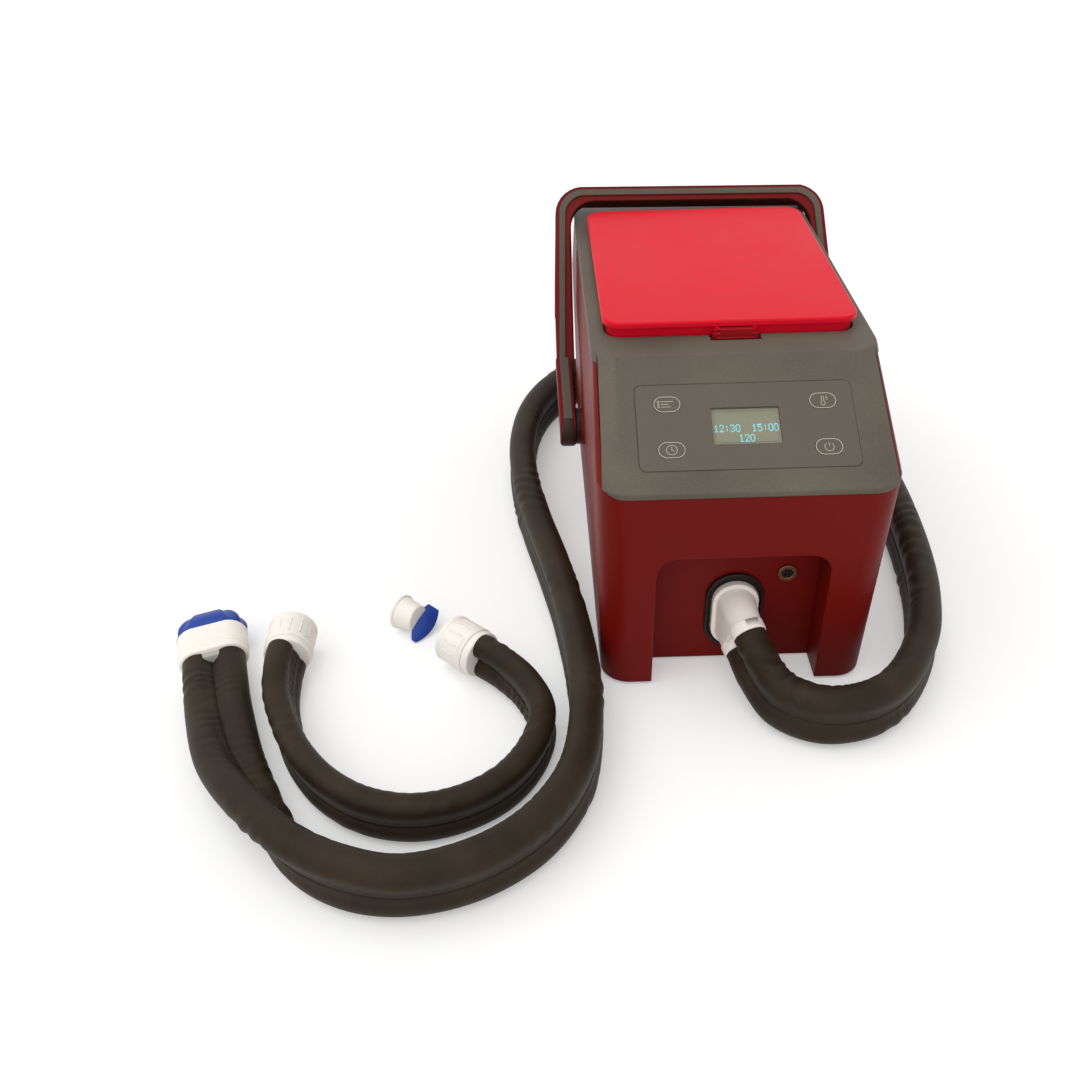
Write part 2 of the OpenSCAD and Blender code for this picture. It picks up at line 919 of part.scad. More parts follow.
module key_switches() {
    color(dark)
        on_panel()
            for (p = key_places)
                translate([p[0], p[1], -board_depth]) {
                    linear_extrude(3.4)
                        square([12, 12], center = true);
                    cylinder(d = 6.5, h = board_depth - wall - 1 - key_travel - 0.1);
                }
}

module board_screws() {
    color(steel)
        on_panel()
            for (sx = [-1, 1], y = standoff_ys)
                translate([sx * standoff_x + panel_x, y, -board_depth - board_t])
                    screw(2.3, 6, 5, 1.8);
}

// ---------------------------------------------------------------- swept tubes

function unit(v) = v / norm(v);
function place(p) = [p[0], p[1], p[2]];

// Catmull-Rom curve through the points of a route, `steps` pieces to a span
function curve_point(a, b, c, d, t) =
    (2 * b + (c - a) * t + (2 * a - 5 * b + 4 * c - d) * t * t
        + (3 * b - a - 3 * c + d) * t * t * t) / 2;
function curve(route, steps) = let (last = len(route) - 1) [
    for (i = [0 : last - 1], k = [0 : steps - 1])
        curve_point(route[max(i - 1, 0)], route[i], route[i + 1], route[min(i + 2, last)], k / steps),
    route[last]
];

// Direction of the curve at point i, and the two axes of its cross-section
function heading(line, i) = let (last = len(line) - 1)
    unit(place(line[min(i + 1, last)]) - place(line[max(i - 1, 0)]));
function side_of(t) = unit(cross([0, 0, 1], t));
function ring(line, i, section) =
    let (t = heading(line, i), side = side_of(t), up = cross(t, side), roll = line[i][3])
    [for (q = section)
        place(line[i])
            + q[0] * (cos(roll) * side + sin(roll) * up)
            + q[1] * (-sin(roll) * side + cos(roll) * up)];

// Solid swept along a route by a closed section
module sweep(route, steps, section) {
    line = curve(route, steps);
    rings = len(line);
    sides = len(section);
    points = [for (i = [0 : rings - 1]) each ring(line, i, section)];
    faces = [
        [for (k = [0 : sides - 1]) k],
        [for (k = [sides - 1 : -1 : 0]) (rings - 1) * sides + k],
        for (i = [0 : rings - 2], k = [0 : sides - 1])
            let (a = i * sides + k, b = i * sides + (k + 1) % sides)
            [a, a + sides, b + sides, b]
    ];
    polyhedron(points, faces, convexity = 6);
}

// Section of a single tube, and of two tubes side by side in one sleeve
function tube_section(r) = [for (a = [15 : 30 : 345]) [r * cos(a), r * sin(a)]];
function twin_section(d) = [
    for (a = [-130 : 52 : 130]) [d / 2 + d / 2 * cos(a), d / 2 * sin(a)],
    for (a = [50 : 52 : 310]) [-d / 2 + d / 2 * cos(a), d / 2 * sin(a)]
];

// Puts children at a route's end, Z along `dir`, the section's long axis along X
module at_end(p, dir) {
    translate(place(p))
        rotate([0, acos(dir[2]), atan2(dir[1], dir[0])])
            rotate([0, 0, 90 + p[3]])
                children();
}

// ---------------------------------------------------------------- pump and tubes

pump_x = spout_x;
pump_y = spout_y;
pump_d = 54;
volute_d = 64;
volute_z = 58;
volute_h = 16;
outlet_x = pump_x - 22;
outlet_z = volute_z + 9;
outlet_y = 2;

module pump_body() {
    color(dark)
        difference() {
            union() {
                translate([pump_x, pump_y, base_top])
                    linear_extrude(4)
                        rounded_rect(70, 50, 6);
                translate([pump_x, pump_y, base_top + 3])
                    cylinder(d = pump_d, h = volute_z - base_top - 2);
                translate([pump_x, pump_y, volute_z])
                    cylinder(d = volute_d, h = volute_h);
                translate([outlet_x, pump_y, outlet_z])
                    rotate([-90, 0, 0])
                        cylinder(d = spout_d, h = outlet_y - pump_y);
                for (a = [0 : 20 : 340])
                    translate([pump_x, pump_y, base_top + 8])
                        rotate([0, 0, a])
                            translate([pump_d / 2 - 1, -1, 0])
                                cube([3, 2, 40]);
            }
            translate([pump_x, pump_y, volute_z + 3])
                cylinder(d = volute_d - 8, h = volute_h);
            translate([pump_x, pump_y, volute_z - 15])
                cylinder(d = 4 + 2 * run, h = 20);
            translate([outlet_x, pump_y, outlet_z])
                rotate([-90, 0, 0])
                    cylinder(d = spout_bore, h = outlet_y - pump_y + 1);
        }
}

module pump_cover() {
    color("#2c2c30")
        difference() {
            union() {
                translate([pump_x, pump_y, volute_z + volute_h])
                    cylinder(d = volute_d, h = 4);
                translate([pump_x, pump_y, volute_z + volute_h + 3])
                    cylinder(d = spout_d, h = 15);
            }
            translate([pump_x, pump_y, volute_z + volute_h - 1])
                cylinder(d = spout_bore, h = 22);
        }
}

module pump_impeller() {
    color(white)
        translate([pump_x, pump_y, volute_z + 4]) {
            cylinder(d = 48, h = 2);
            cylinder(d = 12, h = 8);
            translate([0, 0, -17])
                cylinder(d = 4, h = 18);
            for (a = [0 : 60 : 300])
                rotate([0, 0, a])
                    translate([5, -1, 1])
                        cube([18, 2, 7]);
        }
}

module tank_tube() {
    low = volute_z + volute_h + 6;
    high = tank_floor - 3;
    color("#c9ced2")
        translate([pump_x, pump_y, low])
            difference() {
                cylinder(d = tube_d, h = high - low);
                translate([0, 0, -1])
                    cylinder(d = spout_d + 2 * run, h = high - low + 2);
            }
}

block_w = 100;
block_h = 60;
block_t = 12;
module_t = 4;
sink_base_t = 6;
fan_t = 25;
fan_hole = fan_size / 2 - 7.5;
fan_back = back_y - end_draft - wall - 3;
fan_front = fan_back - fan_t;
sink_front = fan_front - 34;
block_back = sink_front - module_t;
block_front = block_back - block_t;
cooler_low = 12;
cooler_z = cooler_low + fan_size / 2;
block_port_x = fan_x - block_w / 2;
block_port_y = (block_front + block_back) / 2;
port_low = cooler_z - 14;
port_high = cooler_z + 14;
socket_back = recess_y + 32;

// Routes of the inner tubes: [x, y, z, roll]
tube_end_y = socket_back + 2;
return_end_y = lid_y - tank_len / 2 - 5;
pump_route = [[-67, -8, 67, 0], [-67, 8, 67, 0], [-70, block_port_y - 87, 66, 0],
    [-72, block_port_y - 41, 61, 0], [-62, block_port_y - 10, 58, 0], [-46, block_port_y, 58, 0],
    [-31, block_port_y, 58, 0]];
supply_route = [[-31, block_port_y, 86, 0], [-45, block_port_y, 86, 0], [-62, block_port_y - 13, 90, 0],
    [-68, block_port_y - 47, 92, 0], [-68, 25, 92, 0], [-68, tube_end_y + 108, 90, 0],
    [-60, tube_end_y + 62, 80, 0], [-38, tube_end_y + 34, 70, 0], [-10, tube_end_y + 23, 64, 0],
    [1, tube_end_y + 12, 63.5, 0], [1, tube_end_y, 63.5, 0]];
return_route = [[1, tube_end_y, 38.5, 0], [1, tube_end_y + 11, 38.5, 0], [7, tube_end_y + 24, 45, 0],
    [18, tube_end_y + 32, 66, 0], [30, return_end_y - 30, 94, 0], [40, return_end_y - 24, 121, 0],
    [45, return_end_y - 14, 136, 0], [45, return_end_y, 137, 0]];

module inner_tube(route) {
    last = len(route) - 1;
    color("#c9ced2")
        difference() {
            sweep(route, 3, tube_section(tube_d / 2));
            at_end(route[0], unit(place(route[1]) - place(route[0])))
                translate([0, 0, -1])
                    cylinder(d = spout_d + 2 * run, h = 14);
            at_end(route[last], unit(place(route[last - 1]) - place(route[last])))
                translate([0, 0, -1])
                    cylinder(d = spout_d + 2 * run, h = 14);
        }
}

module pump_tube() { inner_tube(pump_route); }
module supply_tube() { inner_tube(supply_route); }
module return_tube() { inner_tube(return_route); }

// ---------------------------------------------------------------- cooler

module water_block() {
    color("#c3a08a")
        difference() {
            union() {
                translate([fan_x - block_w / 2, block_front, cooler_z - block_h / 2])
                    cube([block_w, block_t, block_h]);
                for (z = [port_low, port_high])
                    translate([block_port_x, block_port_y, z])
                        rod_x(-12, 1, spout_d);
            }
            for (z = [port_low, port_high])
                translate([block_port_x, block_port_y, z])
                    rod_x(-13, block_w - 10, spout_bore);
            for (sx = [-1, 1], sz = [-1, 1])
                on_wall(fan_x + sx * 45, block_back + 1, cooler_z + sz * 25)
                    cylinder(d = 3.2, h = block_t + 2);
        }
}

module thermo_modules() {
    color(white)
        for (sx = [-1, 1])
            on_wall(fan_x + sx * 22, sink_front, cooler_z)
                linear_extrude(module_t)
                    square([40, 40], center = true);
}

module heat_sink() {
    fin_t = 1.6;
    pitch = (fan_size - fin_t) / (fin_count - 1);
    color("#aeb3b8")
        difference() {
            union() {
                translate([fan_x - fan_size / 2, sink_front, cooler_low])
                    cube([fan_size, sink_base_t, fan_size]);
                for (i = [0 : fin_count - 1])
                    translate([fan_x - fan_size / 2 + i * pitch, sink_front, cooler_low])
                        cube([fin_t, fan_front - sink_front, fan_size]);
                for (sx = [-1, 1], sz = [-1, 1])
                    on_wall(fan_x + sx * fan_hole, fan_front, cooler_z + sz * fan_hole)
                        cylinder(d = 9, h = fan_front - sink_front - 1);
            }
            for (sx = [-1, 1], sz = [-1, 1]) {
                on_wall(fan_x + sx * fan_hole, fan_front + 1, cooler_z + sz * fan_hole)
                    cylinder(d = 3.1, h = 14);
                on_wall(fan_x + sx * 45, sink_front + 5, cooler_z + sz * 25)
                    cylinder(d = 3.1, h = 6);
            }
        }
}

module block_screws() {
    color(steel)
        for (sx = [-1, 1], sz = [-1, 1])
            translate([fan_x + sx * 45, block_front, cooler_z + sz * 25])
                rotate([-90, 0, 0])
                    screw(3, block_t + module_t + 4, 6, 2);
}

module cooler_cradle() {
    color(dark)
        difference() {
            translate([fan_x - fan_size / 2 - 4, block_front, base_top])
                cube([fan_size + 8, fan_back - block_front, cooler_low - base_top + 6]);
            translate([fan_x - fan_size / 2 - gap, block_front - 1, cooler_low])
                cube([fan_size + 2 * gap, fan_back - block_front + 2, 10]);
            for (x = [-40, 0, 40])
                translate([fan_x + x - 14, block_front + 12, base_top - 1])
                    cube([28, 50, 10]);
        }
}

module fan_frame() {
    color(dark)
        on_wall(fan_x, fan_back, cooler_z)
            difference() {
                union() {
                    linear_extrude(fan_t)
                        difference() {
                            rounded_rect(fan_size, fan_size, 6);
                            circle(d = fan_size - 5);
                        }
                    for (sx = [-1, 1], sz = [-1, 1])
                        translate([sx * fan_hole, sz * fan_hole, 0])
                            cylinder(d = 8, h = fan_t);
                    cylinder(d = 40, h = 4);
                    for (a = [45 : 90 : 315])
                        rotate([0, 0, a])
                            translate([18, -3, 0])
                                cube([fan_size / 2 - 19, 6, 4]);
                }
                for (sx = [-1, 1], sz = [-1, 1])
                    translate([sx * fan_hole, sz * fan_hole, -1])
                        cylinder(d = 3.6, h = fan_t + 2);
                translate([0, 0, -1])
                    cylinder(d = 5 + 2 * run, h = 6);
            }
}

module fan_rotor() {
    color("#26262a")
        on_wall(fan_x, fan_back, cooler_z) {
            translate([0, 0, 4 + gap])
                cylinder(d = 39, h = 18);
            cylinder(d = 5, h = 6);
            for (a = [0 : 360 / 7 : 359])
                rotate([0, 0, a])
                    translate([15, 0, 13])
                        rotate([38, 0, 0])
                            translate([0, -11, -0.8])
                                cube([39, 22, 1.6]);
        }
}

module fan_screws() {
    color(steel)
        for (sx = [-1, 1], sz = [-1, 1])
            on_wall(fan_x + sx * fan_hole, fan_back, cooler_z + sz * fan_hole)
                screw(3, fan_t + 10, 6, 2);
}

// ---------------------------------------------------------------- socket and jack

bezel_h = 3;
socket_front = recess_y - 2;
socket_flange_t = 3;

module hose_socket() {
    color("#2b2b2e")
        difference() {
            union() {
                on_wall(socket_x, socket_back, socket_z)
                    linear_extrude(socket_back - socket_front)
                        obround(socket_w, socket_h);
                on_wall(socket_x, recess_y + wall + socket_flange_t, socket_z)
                    linear_extrude(socket_flange_t)
                        obround(socket_w + 9, socket_h + 9);
                for (s = [-1, 1])
                    on_wall(socket_x, socket_back + 14, socket_z + s * port_pitch / 2)
                        cylinder(d = spout_d, h = 16);
            }
            for (s = [-1, 1]) {
                on_wall(socket_x, socket_front + 24, socket_z + s * port_pitch / 2)
                    cylinder(d = port_d, h = 25);
                on_wall(socket_x, socket_back + 15, socket_z + s * port_pitch / 2)
                    cylinder(d = spout_bore, h = 40);
            }
        }
}

module socket_bezel() {
    color(dark)
        on_wall(socket_x, recess_y, socket_z)
            linear_extrude(bezel_h)
                difference() {
                    obround(socket_w + 5.6, socket_h + 7);
                    obround(socket_w + 2 * run, socket_h + 2 * run);
                }
}

module power_jack() {
    color(brass)
        difference() {
            union() {
                on_wall(jack_x, recess_y + 16, jack_z)
                    cylinder(d = jack_d, h = 18);
                on_wall(jack_x, recess_y, jack_z)
                    cylinder(d = jack_d + 3, h = 2);
            }
            on_wall(jack_x, recess_y + 17, jack_z)
                cylinder(d = 8.6, h = 22);
        }
}

module jack_insert() {
    color(dark)
        difference() {
            on_wall(jack_x, recess_y + 15, jack_z)
                cylinder(d = 8.6 - 2 * run, h = 16);
            for (a = [45 : 90 : 315])
                on_wall(jack_x + 2.2 * cos(a), recess_y + 4, jack_z + 2.2 * sin(a))
                    cylinder(d = 1.5, h = 8, $fn = 16);
        }
}

module jack_nut() {
    color(brass)
        on_wall(jack_x, recess_y + wall + 3, jack_z)
            difference() {
                cylinder(d = 18, h = 3, $fn = 6);
                translate([0, 0, -1])
                    cylinder(d = jack_d + 2 * run, h = 5);
            }
}

// ---------------------------------------------------------------- main hose

// Points of the main hose from the plug round the back of the machine to its far end:
// [x, y, z, roll], where a roll of 90 stands the twin tubes on edge and 180 lays them flat
main_route = [[6, -217, 44, 90], [12, -235, 36, 90], [26, -261, 27, 90], [54, -277, 25.2, 90],
    [88, -273, 25.2, 90], [118, -251, 25.2, 90], [145, -208, 25.2, 90], [161, -160, 25.2, 90],
    [170, -110, 25.2, 90], [175, -50, 25.2, 90], [176, 20, 25.2, 90], [171, 95, 25.2, 90],
    [154, 170, 25.2, 90], [120, 232, 25.2, 90], [62, 276, 25.2, 90], [-10, 288, 25.2, 90],
    [-75, 270, 25.2, 90], [-122, 228, 25.2, 90], [-150, 175, 25.2, 90], [-162, 110, 25.2, 90],
    [-161, 45, 25.2, 90], [-151, -25, 25.2, 90], [-137, -95, 25.2, 90], [-126, -160, 25.2, 90],
    [-119, -225, 25.2, 90], [-119, -280, 25.2, 90], [-129, -333, 25.2, 90], [-155, -376, 25.2, 90],
    [-194, -405, 25.2, 88], [-240, -417, 25.2, 86], [-282, -409, 25.2, 90], [-318, -386, 25.2, 102],
    [-350, -345, 22.6, 130], [-376, -300, 17.4, 162], [-394, -252, 15, 178], [-405, -213, 16.2, 180],
    [-411, -190, 16.2, 180]];
plug_dir = unit(place(main_route[1]) - place(main_route[0]));
end_dir = unit(place(main_route[36]) - place(main_route[35]));
flange_w = 36;
flange_h = 60;
flange_front = socket_front - 6;
collar_d = 27;
collar_h = 8;
neck_w = 30;
neck_h = 54;

module hose_plug() {
    color(white)
        difference() {
            union() {
                on_wall(socket_x, socket_front, socket_z)
                    linear_extrude(6)
                        obround(flange_w, flange_h);
                hull() {
                    on_wall(socket_x, flange_front + eps, socket_z)
                        linear_extrude(eps)
                            obround(neck_w, neck_h);
                    at_end(main_route[0], plug_dir)
                        translate([0, 0, -collar_h])
                            rotate([0, 0, 90])
                                linear_extrude(eps)
                                    obround(collar_d - 2, hose_d + collar_d - 2);
                }
                for (s = [-1, 1]) {
                    at_end(main_route[0], plug_dir)
                        translate([s * hose_d / 2, 0, -collar_h - eps])
                            cylinder(d = collar_d, h = collar_h + eps);
                    on_wall(socket_x, socket_front + 22, socket_z + s * port_pitch / 2)
                        cylinder(d = port_d - 0.4, h = 23);
                }
            }
            for (s = [-1, 1])
                on_wall(socket_x, socket_front + 23, socket_z + s * port_pitch / 2) {
                    cylinder(d = spout_bore, h = 24);
                    translate([0, 0, 6])
                        rotate_extrude()
                            translate([port_d / 2 - 0.9, 0])
                                square([2, 1.8], center = true);
                }
        }
}

module plug_seals() {
    color("#3a3a3c")
        for (s = [-1, 1])
            on_wall(socket_x, socket_front + 17, socket_z + s * port_pitch / 2)
                rotate_extrude()
                    translate([port_d / 2 - 0.95, 0])
                        circle(0.8, $fn = 20);
}

module main_hose() {
    color(dark)
        sweep(main_route, 2, twin_section(hose_d));
}

end_w = hose_d * 2 + 4;
end_h = 29;
end_len = 34;

module hose_end_body() {
    color(white)
        at_end(main_route[36], end_dir)
            rotate([0, 0, 90])
                difference() {
                    union() {
                        linear_extrude(end_len)
                            obround(end_h, end_w);
                        translate([0, 0, end_len - 4])
                            linear_extrude(4)
                                obround(end_h + 3, end_w + 3);
                        translate([0, 0, 10])
                            linear_extrude(9)
                                obround(end_h + 1.6, end_w + 1.6);
                    }
                    translate([0, 0, end_len - 8])
                        linear_extrude(9)
                            obround(end_h - 8, end_w - 8);
                }
}

module hose_end_cap() {
    color(blue)
        at_end(main_route[36], end_dir)
            translate([0, 0, end_len])
                rotate([0, 0, 90])
                    union() {
                        translate([0, 0, -6])
                            linear_extrude(6 + eps)
                                obround(end_h - 8.6, end_w - 8.6);
                        hull() {
                            linear_extrude(6)
                                obround(end_h + 0.5, end_w + 0.5);
                            translate([0, 0, 19])
                                linear_extrude(3)
                                    obround(14, 34);
                        }
                    }
}

// ---------------------------------------------------------------- short hose

// Points of the loose link hose from one coupling to the other: [x, y, z, roll]
short_route = [[-352, -192, 21.6, 124], [-352, -212, 21.6, 122], [-349, -240, 20.2, 112],
    [-340, -270, 20.2, 102], [-325, -302, 20.2, 94], [-302, -331, 20.2, 90], [-273, -351, 20.2, 90],
    [-240, -358, 20.2, 92], [-207, -351, 20.2, 94], [-178, -332, 20.2, 92], [-158, -302, 20.2, 90],
    [-151, -268, 20.2, 90], [-162, -236, 20.6, 90], [-180, -213, 21.6, 90], [-197, -197, 21.6, 90]];
link_start_dir = unit(place(short_route[0]) - place(short_route[1]));
link_end_dir = unit(place(short_route[14]) - place(short_route[13]));
tail_d = 40;
tail_h = 7;
nut_len = 27;
nut_bore = 34;
nut_ribs = 14;

module short_hose() {
    color(dark)
        sweep(short_route, 2, twin_section(link_d));
}

module coupling_tail() {
    difference() {
        union() {
            cylinder(d = tail_d, h = tail_h);
            cylinder(d = 24, h = tail_h + 14);
            translate([0, 0, tail_h + 5])
                cylinder(d = 30, h = 3);
        }
        translate([0, 0, tail_h - 2])
            cylinder(d = 16, h = 20);
    }
}

module coupling_nut() {
    difference() {
        union() {
            cylinder(d = nut_d - 1.6, h = nut_len);
            cylinder(d = nut_d, h = 4);
            translate([0, 0, nut_len - 4])
                cylinder(d = nut_d, h = 4);
            for (i = [0 : nut_ribs - 1])
                rotate([0, 0, i * 360 / nut_ribs])
                    translate([nut_d / 2 - 2, -1, 7])
                        cube([2, 2, 13]);
        }
        translate([0, 0, -1])
            cylinder(d = 24 + 4 * run, h = 8);
        translate([0, 0, 5])
            cylinder(d = nut_bore, h = nut_len);
    }
}

module coupling_tails() {
    color(white) {
        at_end(short_route[0], link_start_dir)
            coupling_tail();
        at_end(short_route[14], link_end_dir)
            coupling_tail();
    }
}

module coupling_nut_a() {
    color(white)
        at_end(short_route[0], link_start_dir)
            translate([0, 0, tail_h])
                coupling_nut();
}

module coupling_nut_b() {
    color(white)
        at_end(short_route[14], link_end_dir)
            translate([0, 0, tail_h])
                coupling_nut();
}

// Spare cap of a coupling, lying on its side in front of it
module spare_cap() {
    color(white)
        translate([-252, -141, 15])
            rotate([0, 90, 145])
                difference() {
                    union() {
                        cylinder(d1 = 22, d2 = 27, h = 16);
                        translate([0, 0, 16 - eps])
                            cylinder(d = 29.6, h = 3);
                    }
                    translate([0, 0, 4])
                        cylinder(d = 21, h = 20);
                }
}

body_shell();
base_plate();
feet();
base_screws();
top_cover();
cover_screws();
reservoir_tank();
tank_screws();
tank_gasket();
tank_filter();
lid();
lid_seal();
lid_hinge_pins();
lid_latch();
latch_pin();
handle_frame();
handle_trim();
pivot_washers();
pivot_bolts();
pivot_nuts();
keypad_membrane();
key_mode();
key_temperature();
key_timer();
key_power();
display_window();
display_module();
control_board();
key_switches();
board_screws();
pump_body();
pump_cover();
pump_impeller();
tank_tube();
pump_tube();
supply_tube();
return_tube();
water_block();
thermo_modules();
heat_sink();
block_screws();
cooler_cradle();
fan_frame();
fan_rotor();
fan_screws();
hose_socket();
socket_bezel();
power_jack();
jack_insert();
jack_nut();
hose_plug();
plug_seals();
main_hose();
hose_end_body();
hose_end_cap();
short_hose();
coupling_tails();
coupling_nut_a();
coupling_nut_b();
spare_cap();
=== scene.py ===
import math

import bmesh
import bpy
from mathutils import Matrix, Vector, noise
from mathutils.bvhtree import BVHTree


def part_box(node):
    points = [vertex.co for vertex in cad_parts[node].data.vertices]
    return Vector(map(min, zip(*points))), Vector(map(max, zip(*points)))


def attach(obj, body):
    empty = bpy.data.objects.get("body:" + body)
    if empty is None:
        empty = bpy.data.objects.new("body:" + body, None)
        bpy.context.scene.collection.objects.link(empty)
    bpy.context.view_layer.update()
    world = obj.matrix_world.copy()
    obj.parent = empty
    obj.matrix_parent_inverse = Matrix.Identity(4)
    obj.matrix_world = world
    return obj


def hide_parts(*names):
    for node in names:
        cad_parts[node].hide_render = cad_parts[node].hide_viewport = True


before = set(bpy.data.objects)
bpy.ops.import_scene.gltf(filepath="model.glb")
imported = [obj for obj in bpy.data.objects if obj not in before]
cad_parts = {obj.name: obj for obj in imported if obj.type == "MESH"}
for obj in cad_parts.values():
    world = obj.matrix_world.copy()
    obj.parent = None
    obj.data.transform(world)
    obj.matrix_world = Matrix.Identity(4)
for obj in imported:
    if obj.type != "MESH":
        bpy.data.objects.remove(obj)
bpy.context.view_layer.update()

# ---------------------------------------------------------------- camera, floor and lamps
# The machine stands on a plain white floor in a pale room. One very broad lamp high on
# the left gives the soft shadows, and a weak broad one fills the front.
camera = bpy.data.objects.new("camera", bpy.data.cameras.new("camera"))
bpy.context.scene.collection.objects.link(camera)
bpy.context.scene.camera = camera
camera.data.sensor_width = 36
camera.data.lens = 38.27
camera.data.clip_end = 80
aim = (Matrix.Rotation(-0.0033473612, 3, "Z") @ Matrix.Rotation(-0.6245850342, 3, "X")
       @ Matrix.Rotation(0.0273874550, 3, "Y"))
across, ahead, upward = aim.col
camera.matrix_world = (Matrix.Translation((-0.15125, -0.88017, 0.62496))
                       @ Matrix((across, upward, -ahead)).transposed().to_4x4())

bpy.context.scene.view_settings.view_transform = "Standard"


def tone(red, green, blue):
    """A colour written as 0 to 255, made linear."""
    return tuple(c / 255 / 12.92 if c <= 10 else ((c / 255 + 0.055) / 1.055) ** 2.4
                 for c in (red, green, blue)) + (1.0,)


def seen_straight(tree):
    """1 for a ray from the camera, or one that gloss or glass sends on, else 0."""
    path = tree.nodes.new("ShaderNodeLightPath")
    either = tree.nodes.new("ShaderNodeMath")
    either.operation = "MAXIMUM"
    tree.links.new(path.outputs["Is Camera Ray"], either.inputs[0])
    tree.links.new(path.outputs["Is Glossy Ray"], either.inputs[1])
    all_three = tree.nodes.new("ShaderNodeMath")
    all_three.operation = "MAXIMUM"
    tree.links.new(either.outputs[0], all_three.inputs[0])
    tree.links.new(path.outputs["Is Transmission Ray"], all_three.inputs[1])
    return all_three.outputs[0]


room = bpy.data.worlds.new("room")
bpy.context.scene.world = room
room.use_nodes = True
room_tree = room.node_tree
room_light = room_tree.nodes["Background"]
room_light.inputs["Color"].default_value = (1.0, 0.99, 0.975, 1)
room_light.inputs["Strength"].default_value = 0.60
room_seen = room_tree.nodes.new("ShaderNodeBackground")
room_seen.inputs["Color"].default_value = (1, 1, 1, 1)
room_seen.inputs["Strength"].default_value = 1.0
room_mix = room_tree.nodes.new("ShaderNodeMixShader")
room_tree.links.new(seen_straight(room_tree), room_mix.inputs[0])
room_tree.links.new(room_light.outputs[0], room_mix.inputs[1])
room_tree.links.new(room_seen.outputs[0], room_mix.inputs[2])
room_tree.links.new(room_mix.outputs[0], room_tree.nodes["World Output"].inputs["Surface"])

floor_finish = bpy.data.materials.new("studio_floor")
floor_finish.use_nodes = True
floor_tree = floor_finish.node_tree
floor_shader = floor_tree.nodes["Principled BSDF"]
floor_shader.inputs["Base Color"].default_value = (0.78, 0.78, 0.78, 1)
floor_shader.inputs["Roughness"].default_value = 0.9
floor_shader.inputs["Specular IOR Level"].default_value = 0.0
floor_lift = floor_tree.nodes.new("ShaderNodeEmission")
floor_lift.inputs["Color"].default_value = (1, 1, 1, 1)
floor_seen = floor_tree.nodes.new("ShaderNodeMath")
floor_seen.operation = "MULTIPLY"
floor_seen.inputs[1].default_value = 0.30
floor_tree.links.new(seen_straight(floor_tree), floor_seen.inputs[0])
floor_tree.links.new(floor_seen.outputs[0], floor_lift.inputs["Strength"])
floor_sum = floor_tree.nodes.new("ShaderNodeAddShader")
floor_tree.links.new(floor_shader.outputs[0], floor_sum.inputs[0])
floor_tree.links.new(floor_lift.outputs[0], floor_sum.inputs[1])
floor_tree.links.new(floor_sum.outputs[0], floor_tree.nodes["Material Output"].inputs["Surface"])

floor_mesh = bpy.data.meshes.new("floor")
floor_mesh.from_pydata([(-20, -20, 0), (20, -20, 0), (20, 20, 0), (-20, 20, 0)], [], [(0, 1, 2, 3)])
floor_mesh.materials.append(floor_finish)
floor = bpy.data.objects.new("floor", floor_mesh)
bpy.context.scene.collection.objects.link(floor)

for lamp_name, towards, strength in (("broad_lamp", (0.36, 0.10, -1), 1.15),
                                     ("front_fill", (0.12, 1, -0.45), 0.50)):
    lamp = bpy.data.objects.new(lamp_name, bpy.data.lights.new(lamp_name, "SUN"))
    bpy.context.scene.collection.objects.link(lamp)
    lamp.data.energy = strength
    lamp.data.angle = math.radians(64)
    lamp.rotation_euler = Vector(towards).to_track_quat("-Z", "Y").to_euler()

# ---------------------------------------------------------------- main hose
# Two 25 mm tubes lie side by side in one sleeve of dark brown stretch cloth, 50 mm wide,
# stretched almost flat over the valley between them, where a stitched seam closes it. The
# cloth puckers at the seam and inside each bend. The hose stands on edge round the machine
# and turns flat before its far end. Nothing comes nearer the floor than floor_gap.
main_tube = 0.025
floor_gap = 0.0003
main_points = [
    (0.006, -0.217, 0.044, 90), (0.012, -0.235, 0.036, 90), (0.026, -0.261, 0.027, 90),
    (0.054, -0.277, 0.0252, 90), (0.088, -0.273, 0.0252, 90), (0.118, -0.251, 0.0252, 90),
    (0.145, -0.208, 0.0252, 90), (0.161, -0.160, 0.0252, 90), (0.170, -0.110, 0.0252, 90),
    (0.175, -0.050, 0.0252, 90), (0.176, 0.020, 0.0252, 90), (0.171, 0.095, 0.0252, 90),
    (0.154, 0.170, 0.0252, 90), (0.120, 0.232, 0.0252, 90), (0.062, 0.276, 0.0252, 90),
    (-0.010, 0.288, 0.0252, 90), (-0.075, 0.270, 0.0252, 90), (-0.122, 0.228, 0.0252, 90),
    (-0.150, 0.175, 0.0252, 90), (-0.162, 0.110, 0.0252, 90), (-0.161, 0.045, 0.0252, 90),
    (-0.151, -0.025, 0.0252, 90), (-0.137, -0.095, 0.0252, 90), (-0.126, -0.160, 0.0252, 90),
    (-0.119, -0.225, 0.0252, 90), (-0.119, -0.280, 0.0252, 90), (-0.129, -0.333, 0.0252, 90),
    (-0.155, -0.376, 0.0252, 90), (-0.194, -0.405, 0.0252, 88), (-0.240, -0.417, 0.0252, 86),
    (-0.282, -0.409, 0.0252, 90), (-0.318, -0.386, 0.0252, 80), (-0.350, -0.345, 0.0230, 50),
    (-0.376, -0.300, 0.0184, 20), (-0.394, -0.252, 0.0164, 2), (-0.405, -0.213, 0.0170, -5),
    (-0.411, -0.190, 0.0170, -5)]


